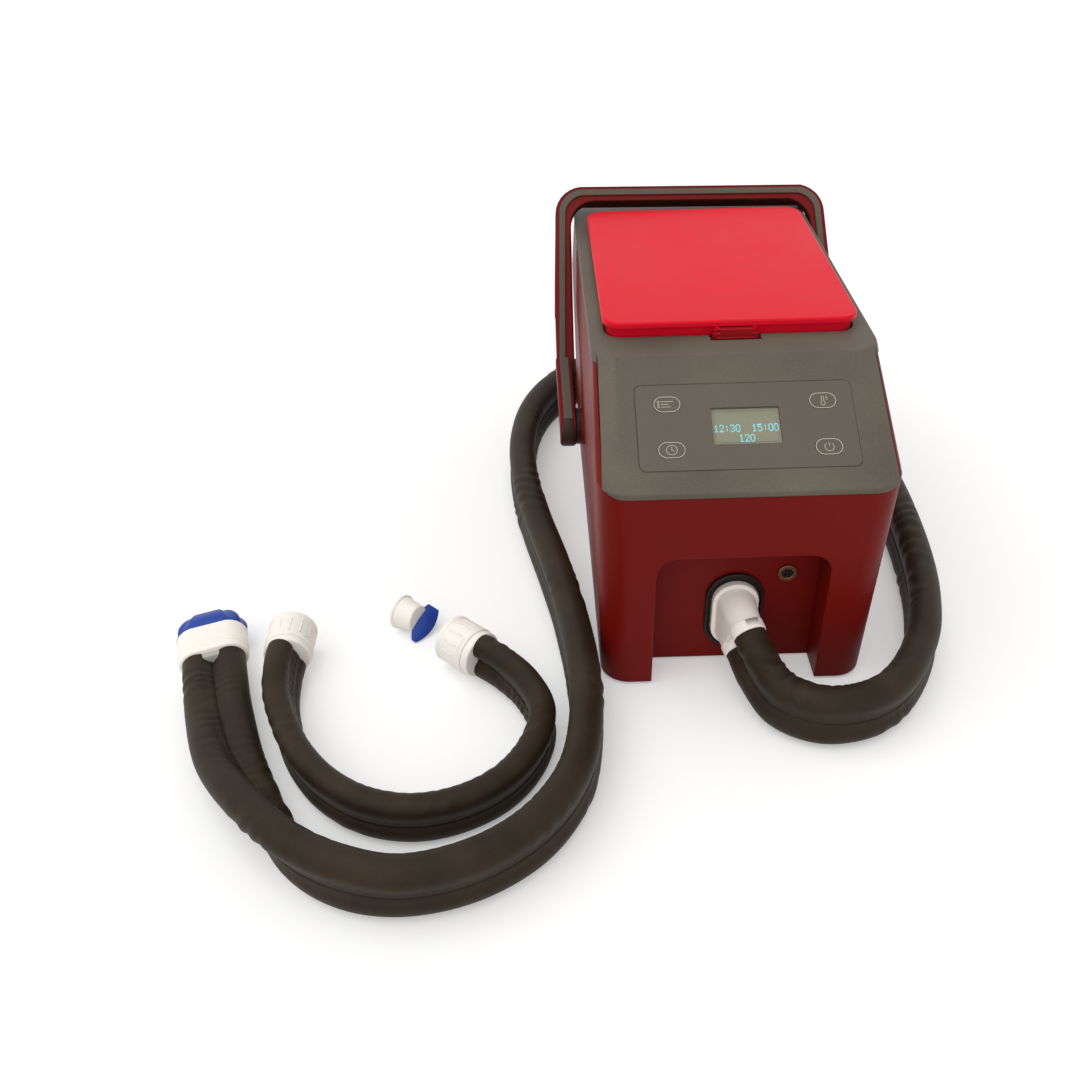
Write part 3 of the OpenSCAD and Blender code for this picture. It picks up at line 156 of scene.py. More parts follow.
def hose_line(points, steps):
    """Smooth line through a route's points, each with its roll in degrees."""
    line, last = [], len(points) - 1
    for i in range(last):
        a, b, c, d = (Vector(points[k]) for k in (max(i - 1, 0), i, i + 1, min(i + 2, last)))
        for t in (k / steps for k in range(steps)):
            line.append((2 * b + (c - a) * t + (2 * a - 5 * b + 4 * c - d) * t * t
                         + (3 * b - a - 3 * c + d) * t ** 3) / 2)
    return line + [Vector(points[last])]


def across_hose(heading, roll):
    """The long and the short axis of the twin section."""
    side = Vector((0, 0, 1)).cross(heading).normalized()
    over = heading.cross(side)
    turn = math.radians(roll)
    return (math.cos(turn) * side + math.sin(turn) * over,
            -math.sin(turn) * side + math.cos(turn) * over)


def headings(line):
    last = len(line) - 1
    return [(line[min(i + 1, last)].xyz - line[max(i - 1, 0)].xyz).normalized()
            for i in range(last + 1)]


valley_steps = (0.36, 0.20, 0.055, 0.0, -0.055, -0.20, -0.36)
lobe_turn = [math.radians(a) for a in range(-117, 118, 9)]


def twin_section(valley):
    """Outline of the sleeve for a tube of radius 1, its valleys at that height."""
    edge_u, edge_v = 1 + math.cos(lobe_turn[-1]), math.sin(lobe_turn[-1])
    dip = [(u, valley + (edge_v - valley) * (abs(u) / edge_u) ** 1.4 - (0.13 if u == 0 else 0))
           for u in valley_steps]
    return ([(1 + math.cos(a), math.sin(a)) for a in lobe_turn] + dip
            + [(-1 - math.cos(a), -math.sin(a)) for a in lobe_turn]
            + [(-u, -v) for u, v in dip])


def sleeve_mesh(name, line, tube, valley_at, pucker_at, seed):
    """Mesh of a sewn sleeve along a line, and the lines of its two seams."""
    points, faces, around = [], [], []
    radius, last = tube / 2, len(line) - 1
    ways = headings(line)
    run = [0.0]
    for i in range(last):
        run.append(run[-1] + (line[i + 1].xyz - line[i].xyz).length)
    reach = 6
    count = len(twin_section(0.6))
    fold_pitch, crease_pitch = 0.0165, 0.0092
    seams = ([], [])
    for i, spot in enumerate(line):
        wide, thick = across_hose(ways[i], spot[3])
        low, high = max(i - reach, 0), min(i + reach, last)
        bend = (ways[high] - ways[low]) / (run[high] - run[low])
        s, from_ends = run[i], min(run[i], run[last] - run[i])
        pucker = pucker_at(s, run[last])
        for k, (u, v) in enumerate(twin_section(valley_at(s, run[last]))):
            out = wide * u + thick * v
            lobe = 1 if u > 0 else -1
            away = (wide * (u - lobe * min(abs(u), 1)) + thick * v).normalized()
            inside = max(0.0, away.dot(bend) - 1.5) * 0.10
            near_seam = max(0.0, 1 - abs(u) / 1.5) * (1 if abs(u) > 0.01 else 0.4)
            spread = k / count * 9 + seed
            broad = noise.noise(Vector((s * 20, spread, seed)))
            wander = noise.noise(Vector((s * 30, spread * 0.5, seed + 7.3)))
            patch = max(0.0, noise.noise(Vector((s * 16, spread * 0.45, seed + 2.9))) - 0.08) * 2
            tight = max(0.0, noise.noise(Vector((s * 24, lobe * 3.1, seed + 4.4))) + 0.35)
            folds = math.sin(2 * math.pi * (s / fold_pitch + 1.1 * wander + 0.10 * spread))
            creases = abs(math.sin(math.pi * (s / crease_pitch + 1.3 * wander))) ** 0.55 - 0.7
            rise = (0.00030 * broad + 0.00060 * patch * folds
                    + 0.0018 * min(inside, 1.2) * tight * creases
                    + 0.0025 * pucker * near_seam * tight * creases)
            rise *= min(1.0, from_ends / 0.006)
            at = spot.xyz + out * radius + away * rise
            at.z = max(at.z, floor_gap)
            points.append(at)
            # the middle of each valley carries the line of its seam
            if k == len(lobe_turn) + 3:
                seams[0].append(at + thick * 0.0002)
            if k == 2 * len(lobe_turn) + 10:
                seams[1].append(at - thick * 0.0002)
    for i in range(last):
        for k in range(count):
            a, b = i * count + k, i * count + (k + 1) % count
            faces.append((a, b, b + count, a + count))
            left, right = k / count * 7 * radius, (k + 1) / count * 7 * radius
            around.append(((left, run[i]), (right, run[i]),
                           (right, run[i + 1]), (left, run[i + 1])))
    faces.append(tuple(range(count - 1, -1, -1)))
    faces.append(tuple(last * count + k for k in range(count)))
    mesh = bpy.data.meshes.new(name)
    mesh.from_pydata(points, [], faces)
    uv = mesh.uv_layers.new(name="sleeve").data
    corner = 0
    for place in around:
        for u, v in place:
            uv[corner].uv = (u * 100, v * 100)
            corner += 1
    mesh.polygons.foreach_set("use_smooth", [True] * len(mesh.polygons))
    return mesh, seams, run[last]


def sleeve_cloth():
    """Matt brown-black stretch cloth: a fine knit over a slow drift of tone."""
    cloth = bpy.data.materials.new("sleeve_cloth")
    cloth.use_nodes = True
    tree = cloth.node_tree
    shader = tree.nodes["Principled BSDF"]
    shader.inputs["Roughness"].default_value = 0.52
    shader.inputs["Specular IOR Level"].default_value = 0.17
    shader.inputs["Sheen Weight"].default_value = 0.03
    shader.inputs["Sheen Roughness"].default_value = 0.45
    shader.inputs["Sheen Tint"].default_value = tone(190, 178, 160)
    uv = tree.nodes.new("ShaderNodeUVMap")
    uv.uv_map = "sleeve"
    rows = tree.nodes.new("ShaderNodeTexWave")
    rows.bands_direction = "Y"
    rows.inputs["Scale"].default_value = 3.4
    rows.inputs["Distortion"].default_value = 0.6
    rows.inputs["Detail"].default_value = 1.0
    wales = tree.nodes.new("ShaderNodeTexWave")
    wales.bands_direction = "X"
    wales.inputs["Scale"].default_value = 4.6
    wales.inputs["Distortion"].default_value = 0.5
    knit = tree.nodes.new("ShaderNodeMath")
    knit.operation = "MULTIPLY"
    tree.links.new(uv.outputs[0], rows.inputs["Vector"])
    tree.links.new(uv.outputs[0], wales.inputs["Vector"])
    tree.links.new(rows.outputs["Fac"], knit.inputs[0])
    tree.links.new(wales.outputs["Fac"], knit.inputs[1])
    where = tree.nodes.new("ShaderNodeTexCoord")
    drift = tree.nodes.new("ShaderNodeTexNoise")
    drift.inputs["Scale"].default_value = 28
    drift.inputs["Detail"].default_value = 5
    tree.links.new(where.outputs["Object"], drift.inputs["Vector"])
    shade = tree.nodes.new("ShaderNodeValToRGB")
    shade.color_ramp.elements[0].position = 0.3
    shade.color_ramp.elements[0].color = tone(38, 28, 16)
    shade.color_ramp.elements[1].position = 0.72
    shade.color_ramp.elements[1].color = tone(57, 45, 29)
    tree.links.new(drift.outputs["Fac"], shade.inputs[0])
    lift = tree.nodes.new("ShaderNodeMix")
    lift.data_type = "RGBA"
    lift.blend_type = "SOFT_LIGHT"
    lift.inputs[0].default_value = 0.35
    tree.links.new(shade.outputs[0], lift.inputs[6])
    tree.links.new(knit.outputs[0], lift.inputs[7])
    tree.links.new(lift.outputs[2], shader.inputs["Base Color"])
    bump = tree.nodes.new("ShaderNodeBump")
    bump.inputs["Strength"].default_value = 0.5
    bump.inputs["Distance"].default_value = 0.00018
    tree.links.new(knit.outputs[0], bump.inputs["Height"])
    tree.links.new(bump.outputs[0], shader.inputs["Normal"])
    return cloth


def between(value, low, high):
    """0 below low, 1 above high, and smooth between them."""
    t = min(1.0, max(0.0, (value - low) / (high - low)))
    return t * t * (3 - 2 * t)


def piece(name, mesh, body, stands_for=None):
    """Puts a finished mesh in the scene. It rides on that body, and the CAD node it stands for is
    hidden.
    """
    made = bpy.data.objects.new(name, mesh)
    bpy.context.scene.collection.objects.link(made)
    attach(made, body)
    if stands_for:
        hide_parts(stands_for)
    return made


main_line = hose_line(main_points, 24)
sleeve_finish = sleeve_cloth()
main_mesh, main_seams, main_length = sleeve_mesh(
    "main_hose_sleeve", main_line, main_tube,
    lambda s, whole: (0.80 - 0.34 * between(s, whole - 0.018, whole - 0.003)
                      - 0.12 * between(s, whole - 0.26, whole - 0.16)
                      - 0.4 * (1 - between(s, 0.004, 0.030))),
    lambda s, whole: (0.25 + 1.3 * between(s, whole - 0.24, whole - 0.18)
                      * (1 - between(s, whole - 0.03, whole - 0.008))),
    1.7)
main_mesh.materials.append(sleeve_finish)
main_sleeve = piece("main_hose_sleeve", main_mesh, "housing", "main_hose")


def grained(name, colour, roughness, grain=0.0006, depth=0.00003, drift=0.06, specular=0.22,
            alpha=1.0):
    """Moulded plastic or rubber: its tone drifts a little, over a fine spark texture."""
    finish = bpy.data.materials.new(name)
    finish.use_nodes = True
    tree = finish.node_tree
    shader = tree.nodes["Principled BSDF"]
    shader.inputs["Specular IOR Level"].default_value = specular
    shader.inputs["Alpha"].default_value = alpha
    where = tree.nodes.new("ShaderNodeTexCoord")
    slow = tree.nodes.new("ShaderNodeTexNoise")
    slow.inputs["Scale"].default_value = 14
    slow.inputs["Detail"].default_value = 3
    spark = tree.nodes.new("ShaderNodeTexNoise")
    spark.inputs["Scale"].default_value = 1 / grain
    spark.inputs["Detail"].default_value = 2
    for texture in (slow, spark):
        tree.links.new(where.outputs["Object"], texture.inputs["Vector"])
    blend = tree.nodes.new("ShaderNodeMath")
    blend.operation = "ADD"
    tree.links.new(slow.outputs["Fac"], blend.inputs[0])
    speck = tree.nodes.new("ShaderNodeMath")
    speck.operation = "MULTIPLY"
    speck.inputs[1].default_value = 0.6
    tree.links.new(spark.outputs["Fac"], speck.inputs[0])
    tree.links.new(speck.outputs[0], blend.inputs[1])
    shade = tree.nodes.new("ShaderNodeMapRange")
    shade.inputs["From Min"].default_value = 0.5
    shade.inputs["From Max"].default_value = 1.1
    shade.inputs["To Min"].default_value = 1 - drift
    shade.inputs["To Max"].default_value = 1 + drift
    tree.links.new(blend.outputs[0], shade.inputs["Value"])
    paint = tree.nodes.new("ShaderNodeVectorMath")
    paint.operation = "SCALE"
    paint.inputs[0].default_value = colour[:3]
    tree.links.new(shade.outputs[0], paint.inputs["Scale"])
    tree.links.new(paint.outputs[0], shader.inputs["Base Color"])
    rub = tree.nodes.new("ShaderNodeMapRange")
    rub.inputs["From Min"].default_value = 0.3
    rub.inputs["From Max"].default_value = 0.7
    rub.inputs["To Min"].default_value = max(0.02, roughness - 0.05)
    rub.inputs["To Max"].default_value = roughness + 0.05
    tree.links.new(slow.outputs["Fac"], rub.inputs["Value"])
    tree.links.new(rub.outputs[0], shader.inputs["Roughness"])
    bump = tree.nodes.new("ShaderNodeBump")
    bump.inputs["Strength"].default_value = 0.6
    bump.inputs["Distance"].default_value = depth
    tree.links.new(spark.outputs["Fac"], bump.inputs["Height"])
    tree.links.new(bump.outputs[0], shader.inputs["Normal"])
    return finish


def seam_tree():
    """Stitches along a line: each is a small bead of thread, laid along the seam."""
    tree = bpy.data.node_groups.new("seam_stitches", "GeometryNodeTree")
    sockets = {key: tree.interface.new_socket(label, in_out="INPUT",
                                              socket_type="NodeSocket" + kind)
               for key, label, kind in (("line", "Seam line", "Geometry"),
                                        ("pitch", "Stitch pitch", "Float"),
                                        ("length", "Stitch length", "Float"),
                                        ("thread", "Thread radius", "Float"),
                                        ("finish", "Thread finish", "Material"))}
    tree.interface.new_socket("Stitches", in_out="OUTPUT", socket_type="NodeSocketGeometry")
    entry = tree.nodes.new("NodeGroupInput")
    leave = tree.nodes.new("NodeGroupOutput")
    curve = tree.nodes.new("GeometryNodeMeshToCurve")
    spread = tree.nodes.new("GeometryNodeResampleCurve")
    spread.mode = "LENGTH"
    bead = tree.nodes.new("GeometryNodeMeshUVSphere")
    bead.inputs["Segments"].default_value = 6
    bead.inputs["Rings"].default_value = 4
    bead.inputs["Radius"].default_value = 1.0
    along = tree.nodes.new("GeometryNodeInputTangent")
    turn = tree.nodes.new("FunctionNodeAlignRotationToVector")
    turn.axis = "X"
    size = tree.nodes.new("ShaderNodeCombineXYZ")
    put = tree.nodes.new("GeometryNodeInstanceOnPoints")
    real = tree.nodes.new("GeometryNodeRealizeInstances")
    paint = tree.nodes.new("GeometryNodeSetMaterial")
    join = tree.links.new
    join(entry.outputs["Seam line"], curve.inputs[0])
    join(curve.outputs[0], spread.inputs["Curve"])
    join(entry.outputs["Stitch pitch"], spread.inputs["Length"])
    join(spread.outputs[0], put.inputs["Points"])
    join(bead.outputs["Mesh"], put.inputs["Instance"])
    join(along.outputs[0], turn.inputs["Vector"])
    join(turn.outputs[0], put.inputs["Rotation"])
    join(entry.outputs["Stitch length"], size.inputs[0])
    join(entry.outputs["Thread radius"], size.inputs[1])
    join(entry.outputs["Thread radius"], size.inputs[2])
    join(size.outputs[0], put.inputs["Scale"])
    join(put.outputs[0], real.inputs[0])
    join(real.outputs[0], paint.inputs["Geometry"])
    join(entry.outputs["Thread finish"], paint.inputs["Material"])
    join(paint.outputs[0], leave.inputs[0])
    return tree, {name: socket.identifier for name, socket in sockets.items()}


stitch_tree, stitch_input = seam_tree()
thread_finish = grained("seam_thread", tone(30, 24, 19), 0.7, 0.0003, 0.00004)


def applied(made):
    """The mesh of an object with its modifiers applied. They are then taken off."""
    bpy.context.view_layer.update()
    done = bpy.data.meshes.new_from_object(
        made.evaluated_get(bpy.context.evaluated_depsgraph_get()))
    made.modifiers.clear()
    return done


def sew(name, seams, pitch):
    """Mesh of the stitches of both seams of one hose."""
    points = [p for seam in seams for p in seam]
    count = len(seams[0])
    edges = [(side * count + i, side * count + i + 1)
             for side in (0, 1) for i in range(count - 1)]
    mesh = bpy.data.meshes.new(name)
    mesh.from_pydata(points, edges, [])
    lay = bpy.data.objects.new(name + "_line", mesh)
    bpy.context.scene.collection.objects.link(lay)
    nodes = lay.modifiers.new("stitches", "NODES")
    nodes.node_group = stitch_tree
    nodes[stitch_input["pitch"]] = pitch
    nodes[stitch_input["length"]] = pitch * 0.42
    nodes[stitch_input["thread"]] = 0.00038
    nodes[stitch_input["finish"]] = thread_finish
    done = applied(lay)
    bpy.data.objects.remove(lay)
    return piece(name, done, "housing")


main_stitches = sew("main_hose_stitches", main_seams, 0.0036)

# ---------------------------------------------------------------- end of the main hose
# A warm white connector in the shape of a slot, 30 mm long, holds both tubes, with two
# grooves round it and a thicker lip. Its white core shows between the tubes, drawn grey as painted
# shade. A blue cap with eight soft lobes closes it.
end_half = 0.0125
end_spot = main_line[-1].xyz
end_way = headings([Vector(p) for p in main_points])[-1]
end_wide, end_thick = across_hose(end_way, 175)


def smoothed(mesh, angle):
    """Smooth shading, with creases sharper than that angle kept."""
    mesh.polygons.foreach_set("use_smooth", [True] * len(mesh.polygons))
    mesh.set_sharp_from_angle(angle=math.radians(angle))


def faced(name, verts, faces, finish):
    """A mesh of those points and faces in one finish."""
    mesh = bpy.data.meshes.new(name)
    mesh.from_pydata(verts, [], faces)
    mesh.materials.append(finish)
    return mesh


def slot_stack(name, levels, finish, turns=40, flute=0, deep=0.0):
    """A closed form of slot-shaped rings on the end of the main hose: each level gives its
    height, end radius, half pitch and the share of the flutes."""
    verts, faces = [], []
    for height, radius, half, share in levels:
        for k in range(turns):
            a = 2 * math.pi * (k + 0.5) / turns
            reach = radius * (1 + deep * share * math.cos(flute * a))
            u = math.copysign(half, math.cos(a)) + reach * math.cos(a)
            v = reach * math.sin(a)
            at = end_spot + end_way * height + end_wide * u + end_thick * v
            verts.append(Vector((at.x, at.y, max(at.z, floor_gap))))
    for i in range(len(levels) - 1):
        for k in range(turns):
            a, b = i * turns + k, i * turns + (k + 1) % turns
            faces.append((a, b, b + turns, a + turns))
    faces.append(tuple(range(turns - 1, -1, -1)))
    faces.append(tuple((len(levels) - 1) * turns + k for k in range(turns)))
    mesh = faced(name, verts, faces, finish)
    smoothed(mesh, 42)
    return piece(name, mesh, "housing")


warm_white = grained("warm_white_plastic", tone(252, 247, 238), 0.38, 0.0009, 0.00001, 0.02)
# Painted shade: the connector's white core between the tubes is given a grey tone.
core_shade_paint = grained("core_grey_painted_shade", tone(178, 176, 168), 0.6, 0.0008, 0.00002)
cap_blue = grained("blue_cap_plastic", tone(38, 70, 158), 0.42, 0.0009, 0.00002, 0.07)

end_body = slot_stack("hose_end_connector", [
    (0.0, 0.0128, end_half, 0), (0.0003, 0.0142, end_half, 0), (0.0012, 0.0150, end_half, 0),
    (0.0040, 0.0152, end_half, 0), (0.0052, 0.0139, end_half, 0), (0.0062, 0.0139, end_half, 0),
    (0.0070, 0.0154, end_half, 0), (0.0088, 0.0156, end_half, 0), (0.0096, 0.0143, end_half, 0),
    (0.0104, 0.0143, end_half, 0), (0.0112, 0.0155, end_half, 0), (0.0190, 0.0156, end_half, 0),
    (0.0240, 0.0153, end_half, 0), (0.0262, 0.0155, end_half, 0), (0.0278, 0.0160, end_half, 0),
    (0.0292, 0.0160, end_half, 0), (0.0300, 0.0154, end_half, 0), (0.0300, 0.0120, end_half, 0)],
    warm_white)
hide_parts("hose_end_body")
end_core = slot_stack("hose_end_core", [
    (-0.0050, 0.0088, end_half, 0), (-0.0042, 0.0106, end_half, 0), (0.004, 0.0118, end_half, 0)],
    core_shade_paint)
end_cap = slot_stack("hose_end_cap_blue", [
    (0.0292, 0.0118, end_half, 0), (0.0300, 0.0150, end_half, 0.1), (0.0322, 0.0157, end_half, 0.3),
    (0.0352, 0.0156, end_half, 0.7), (0.0392, 0.0152, 0.0120, 1), (0.0436, 0.0142, 0.0110, 1),
    (0.0480, 0.0126, 0.0098, 1), (0.0518, 0.0104, 0.0084, 1), (0.0546, 0.0078, 0.0068, 0.9),
    (0.0562, 0.0046, 0.0052, 0.6), (0.0566, 0.0018, 0.0040, 0.2)],
    cap_blue, turns=96, flute=8, deep=0.09)
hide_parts("hose_end_cap")

# ---------------------------------------------------------------- short hose
# A loose link hose of two 20 mm tubes in the same sewn sleeve, 40 mm wide. It lies in a
# loop in front of the machine, with a coupling on each end.
link_tube = 0.020
link_points = [
    (-0.352, -0.192, 0.0216, 112), (-0.352, -0.212, 0.0216, 110), (-0.349, -0.240, 0.0206, 106),
    (-0.340, -0.270, 0.0202, 99), (-0.325, -0.302, 0.0202, 94), (-0.302, -0.331, 0.0202, 90),
    (-0.273, -0.351, 0.0202, 90), (-0.240, -0.358, 0.0202, 92), (-0.207, -0.351, 0.0202, 94),
    (-0.178, -0.332, 0.0202, 92), (-0.158, -0.302, 0.0202, 90), (-0.151, -0.268, 0.0202, 90),
    (-0.162, -0.236, 0.0206, 90), (-0.180, -0.213, 0.0216, 90), (-0.197, -0.197, 0.0216, 90)]
link_line = hose_line(link_points, 13)
link_mesh, link_seams, link_length = sleeve_mesh(
    "short_hose_sleeve", link_line, link_tube,
    lambda s, whole: (0.82 - 0.40 * between(s, whole - 0.04, whole - 0.006)
                      + 0.15 * (1 - between(s, 0.04, 0.10))),
    lambda s, whole: 0.30 + 1.1 * between(s, whole - 0.11, whole - 0.05),
    5.2)
link_mesh.materials.append(sleeve_finish)
link_sleeve = piece("short_hose_sleeve", link_mesh, "housing", "short_hose")
link_stitches = sew("short_hose_stitches", link_seams, 0.0034)


# ---------------------------------------------------------------- couplings
# On each end of the short hose a white tail holds the tubes, and a ribbed nut turns on it,
# drawn at 39 mm. All of it is moulded in warm white, with softly rounded edges. The spare
# cap beside them has a blue flap.
def eased(node, name, width, finish, body, angle=32, segments=3, share=None, reshape=None,
          sharp=38, near=0.00001):
    """A merged copy of a CAD node's mesh that stands for the node, with its open outer edges
    rounded. `near` is the merge distance, `share` gives each edge its part of the width, and
    `reshape` moves the points first. Long thin faces with many sides are left alone."""
    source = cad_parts[node].data.copy()
    form = bmesh.new()
    form.from_mesh(source)
    bmesh.ops.remove_doubles(form, verts=form.verts, dist=near)
    bmesh.ops.dissolve_limit(form, angle_limit=math.radians(0.6), verts=form.verts,
                             edges=form.edges, use_dissolve_boundaries=False)
    if reshape:
        for vert in form.verts:
            vert.co = reshape(vert.co)
    form.normal_update()
    around = BVHTree.FromBMesh(form)
    weight = form.edges.layers.float.new("bevel_weight_edge")
    for edge in form.edges:
        if (len(edge.link_faces) == 2 and edge.is_convex
                and edge.calc_face_angle(0) > math.radians(angle)):
            middle = (edge.verts[0].co + edge.verts[1].co) / 2
            outward = (edge.link_faces[0].normal + edge.link_faces[1].normal).normalized()
            narrow = any(len(face.verts) > 20
                         and face.calc_area() < width * face.calc_perimeter() / 2
                         for face in edge.link_faces)
            if not narrow and not around.ray_cast(middle + outward * 0.0004, outward, 0.03)[0]:
                edge[weight] = share(middle) if share else 1.0
    form.to_mesh(source)
    form.free()
    source.materials.clear()
    source.materials.append(finish)
    made = bpy.data.objects.new(name, source)
    bpy.context.scene.collection.objects.link(made)
    ease = made.modifiers.new("ease", "BEVEL")
    ease.limit_method = "WEIGHT"
    ease.width = width
    ease.segments = segments
    ease.use_clamp_overlap = False
    ease.miter_outer = "MITER_ARC"
    made.data = applied(made)
    smoothed(made.data, sharp)
    even = made.modifiers.new("even", "WEIGHTED_NORMAL")
    even.keep_sharp = True
    made.data = applied(made)
    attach(made, body)
    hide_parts(node)
    return made


link_ways = headings(link_line)
coupling_axes = []
for name, way in (("coupling_nut_a", link_ways[0]), ("coupling_nut_b", link_ways[-1])):
    low, high = (Vector(side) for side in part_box(name))
    coupling_axes.append(((low + high) / 2, way))


bore_reach = 0.0175


def slimmed(point):
    """Draws the outside of a coupling in towards its axis. Within bore_reach all stays."""
    middle, way = min(coupling_axes, key=lambda axis: (point - axis[0]).length)
    spoke = (point - middle) - way * (point - middle).dot(way)
    if spoke.length <= bore_reach:
        return point
    return point - spoke * (1 - (bore_reach + (spoke.length - bore_reach) * 0.5) / spoke.length)


tails = eased("coupling_tails", "coupling_tails_white", 0.0016, warm_white, "housing",
              reshape=slimmed)
nut_a = eased("coupling_nut_a", "coupling_nut_a_white", 0.0009, warm_white, "nut_a",
              reshape=slimmed)
nut_b = eased("coupling_nut_b", "coupling_nut_b_white", 0.0009, warm_white, "nut_b",
              reshape=slimmed)
eased("spare_cap", "spare_cap_white", 0.0012, warm_white, "housing")
low, high = (Vector(side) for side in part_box("spare_cap"))
start = Vector((high.x + 0.0060, (low.y + high.y) / 2 + 0.006, 0.0165))
tip = Vector(((low.x + high.x) / 2 + 0.005, low.y - 0.0045, 0.0020))
facing = Vector((0.22, -0.72, 0.62)).normalized()
sideways = facing.cross(tip - start).normalized()
verts, faces, steps, across = [], [], 14, 8
for layer in (0.0005, -0.0005):
    for i in range(steps + 1):
        u = i / steps
        half = 0.0085 * math.sin(math.pi * (0.16 + 0.80 * u)) ** 0.7
        for k in range(across + 1):
            v = 2 * k / across - 1
            bulge = 0.0028 * math.sin(math.pi * u) * (1 - v * v) + layer
            at = start.lerp(tip, u) + sideways * half * v + facing * bulge
            verts.append(Vector((at.x, at.y, max(at.z, 0.0004))))
span, row = (steps + 1) * (across + 1), across + 1
for i in range(steps):
    for k in range(across):
        a = i * row + k
        faces.append((a, a + row, a + row + 1, a + 1))
        faces.append((span + a, span + a + 1, span + a + row + 1, span + a + row))
rim = ([i * row for i in range(steps + 1)] + [steps * row + k for k in range(1, row)]
       + [i * row + across for i in range(steps - 1, -1, -1)] + list(range(across - 1, 0, -1)))
for a, b in zip(rim, rim[1:] + rim[:1]):
    faces.append((b, a, span + a, span + b))
mesh = faced("spare_cap_flap", verts, faces, cap_blue)
smoothed(mesh, 50)
piece("spare_cap_flap", mesh, "housing")

# ---------------------------------------------------------------- plug, socket and power jack
# The main hose's plug is a white moulding with an oval flange and two collars. It sits in
# a black socket behind a raised rubber-like bezel. Beside it is a brass jack with pins.
black_plastic = grained("black_plastic", tone(30, 26, 24), 0.4, 0.0007, 0.00002, 0.10)
bezel_black = grained("bezel_black", tone(28, 24, 21), 0.28, 0.0012, 0.00001, 0.10)
plug_white = grained("plug_white_plastic", tone(252, 243, 236), 0.36, 0.0010, 0.00001, 0.03)
eased("hose_plug", "hose_plug_white", 0.0011, plug_white, "housing", angle=25)
seals_finish = grained("seal_rubber", tone(42, 40, 39), 0.55, 0.0005, 0.00002)
eased("socket_bezel", "socket_bezel_black", 0.0010, bezel_black, "housing")
eased("hose_socket", "hose_socket_black", 0.0006, black_plastic, "housing")


def metal(name, colour, roughness):
    """Turned or rolled metal with fine lines and small shifts of gloss."""
    finish = grained(name, colour, roughness, 0.0012, 0.000006, 0.08)
    finish.node_tree.nodes["Principled BSDF"].inputs["Metallic"].default_value = 1.0
    return finish


def dress(finish, *nodes):
    """Gives carried-over CAD nodes their finish."""
    for node in nodes:
        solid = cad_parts[node]
        if not solid.data.materials:
            solid.data.materials.append(finish)
        for slot in solid.material_slots:
            slot.material = finish


brass = metal("jack_brass", tone(138, 98, 70), 0.36)
steel = metal("screw_steel", tone(190, 190, 188), 0.3)
eased("power_jack", "power_jack_brass", 0.0006, brass, "housing")
dress(seals_finish, "plug_seals")
dress(brass, "jack_nut")
dress(black_plastic, "jack_insert")

# ---------------------------------------------------------------- housing
# The body is one deep red moulding with a fine matt texture, drafted on all sides, with
# a recess for the plug at the front and slots for the fan at the back.
body_red = grained("body_red_plastic", tone(112, 17, 11), 0.44, 0.0007, 0.00003, 0.06,
                   specular=0.11)
eased("body_shell", "body_shell_red", 0.0013, body_red, "housing",
      share=lambda middle: 1.0 if middle.y < 0.2 else 0.0, near=0.0001)
base_black = grained("base_black_plastic", tone(34, 32, 32), 0.5, 0.0008, 0.00003, 0.10)
foot_rubber = grained("foot_rubber", tone(38, 36, 35), 0.75, 0.0005, 0.00004, 0.10)
dress(base_black, "base_plate")
dress(foot_rubber, "feet")
dress(steel, "base_screws", "cover_screws", "tank_screws", "board_screws", "block_screws",
      "fan_screws", "pivot_nuts", "lid_hinge_pins", "latch_pin", "tank_filter")

# ---------------------------------------------------------------- cover
# The grey-brown cover carries the lid and the sloped key panel, and overhangs the body
# by a millimetre. It has a spark texture that scatters light in fine grains.
cover_grey = grained("cover_grey_plastic", tone(98, 91, 80), 0.46, 0.0012, 0.00005, 0.24,
                     specular=0.16)
eased("top_cover", "top_cover_grey", 0.0010, cover_grey, "housing", near=0.0003)

# ---------------------------------------------------------------- key panel
# A thin membrane lies in a shallow bed of the panel. Four keys show through it, each
# with a pale printed outline and sign, and the display sits in a deep window.
panel_origin = Vector((0, -0.120, 0.240))
panel_lean = Matrix.Rotation(math.atan2(0.056, 0.097), 3, "X")
membrane_finish = grained("membrane_film", tone(94, 88, 77), 0.40, 0.0016, 0.00001, 0.05)
dress(membrane_finish, "keypad_membrane", "key_mode", "key_temperature", "key_timer", "key_power")
ink = grained("pale_print", tone(196, 188, 172), 0.5, 0.0006, 0.00001, 0.05)


def on_panel(x, y, z):
    return panel_origin + panel_lean @ Vector((x, y, z))


key_lift = 0.00024


def band(path, width, closed=False):
    """Adds a flat printed line of that width along a path on the panel to verts and faces."""
    count, first = len(path), len(verts)
    for i, (x, y) in enumerate(path):
        before = path[i - 1] if (i or closed) else path[i]
        after = path[(i + 1) % count] if (i < count - 1 or closed) else path[i]
        way = Vector((after[0] - before[0], after[1] - before[1])).normalized()
        for side in (0.5, -0.5):
            verts.append(on_panel(x - way.y * width * side, y + way.x * width * side, key_lift))
    for i in range(count if closed else count - 1):
        a, b = first + 2 * i, first + 2 * ((i + 1) % count)
        faces.append((a, a + 1, b + 1, b))


def ring_path(cx, cy, radius, start=0, sweep=360, steps=36):
    full = sweep == 360
    return [(cx + radius * math.cos(math.radians(start + sweep * k / steps)),
             cy + radius * math.sin(math.radians(start + sweep * k / steps)))
            for k in range(steps if full else steps + 1)]


def slot_path(cx, cy, length, height):
    half, r = (length - height) / 2, height / 2
    return [(cx + half * (1 if math.cos(a) > 0 else -1) + r * math.cos(a), cy + r * math.sin(a))
            for a in (2 * math.pi * (k + 0.5) / 40 for k in range(40))]


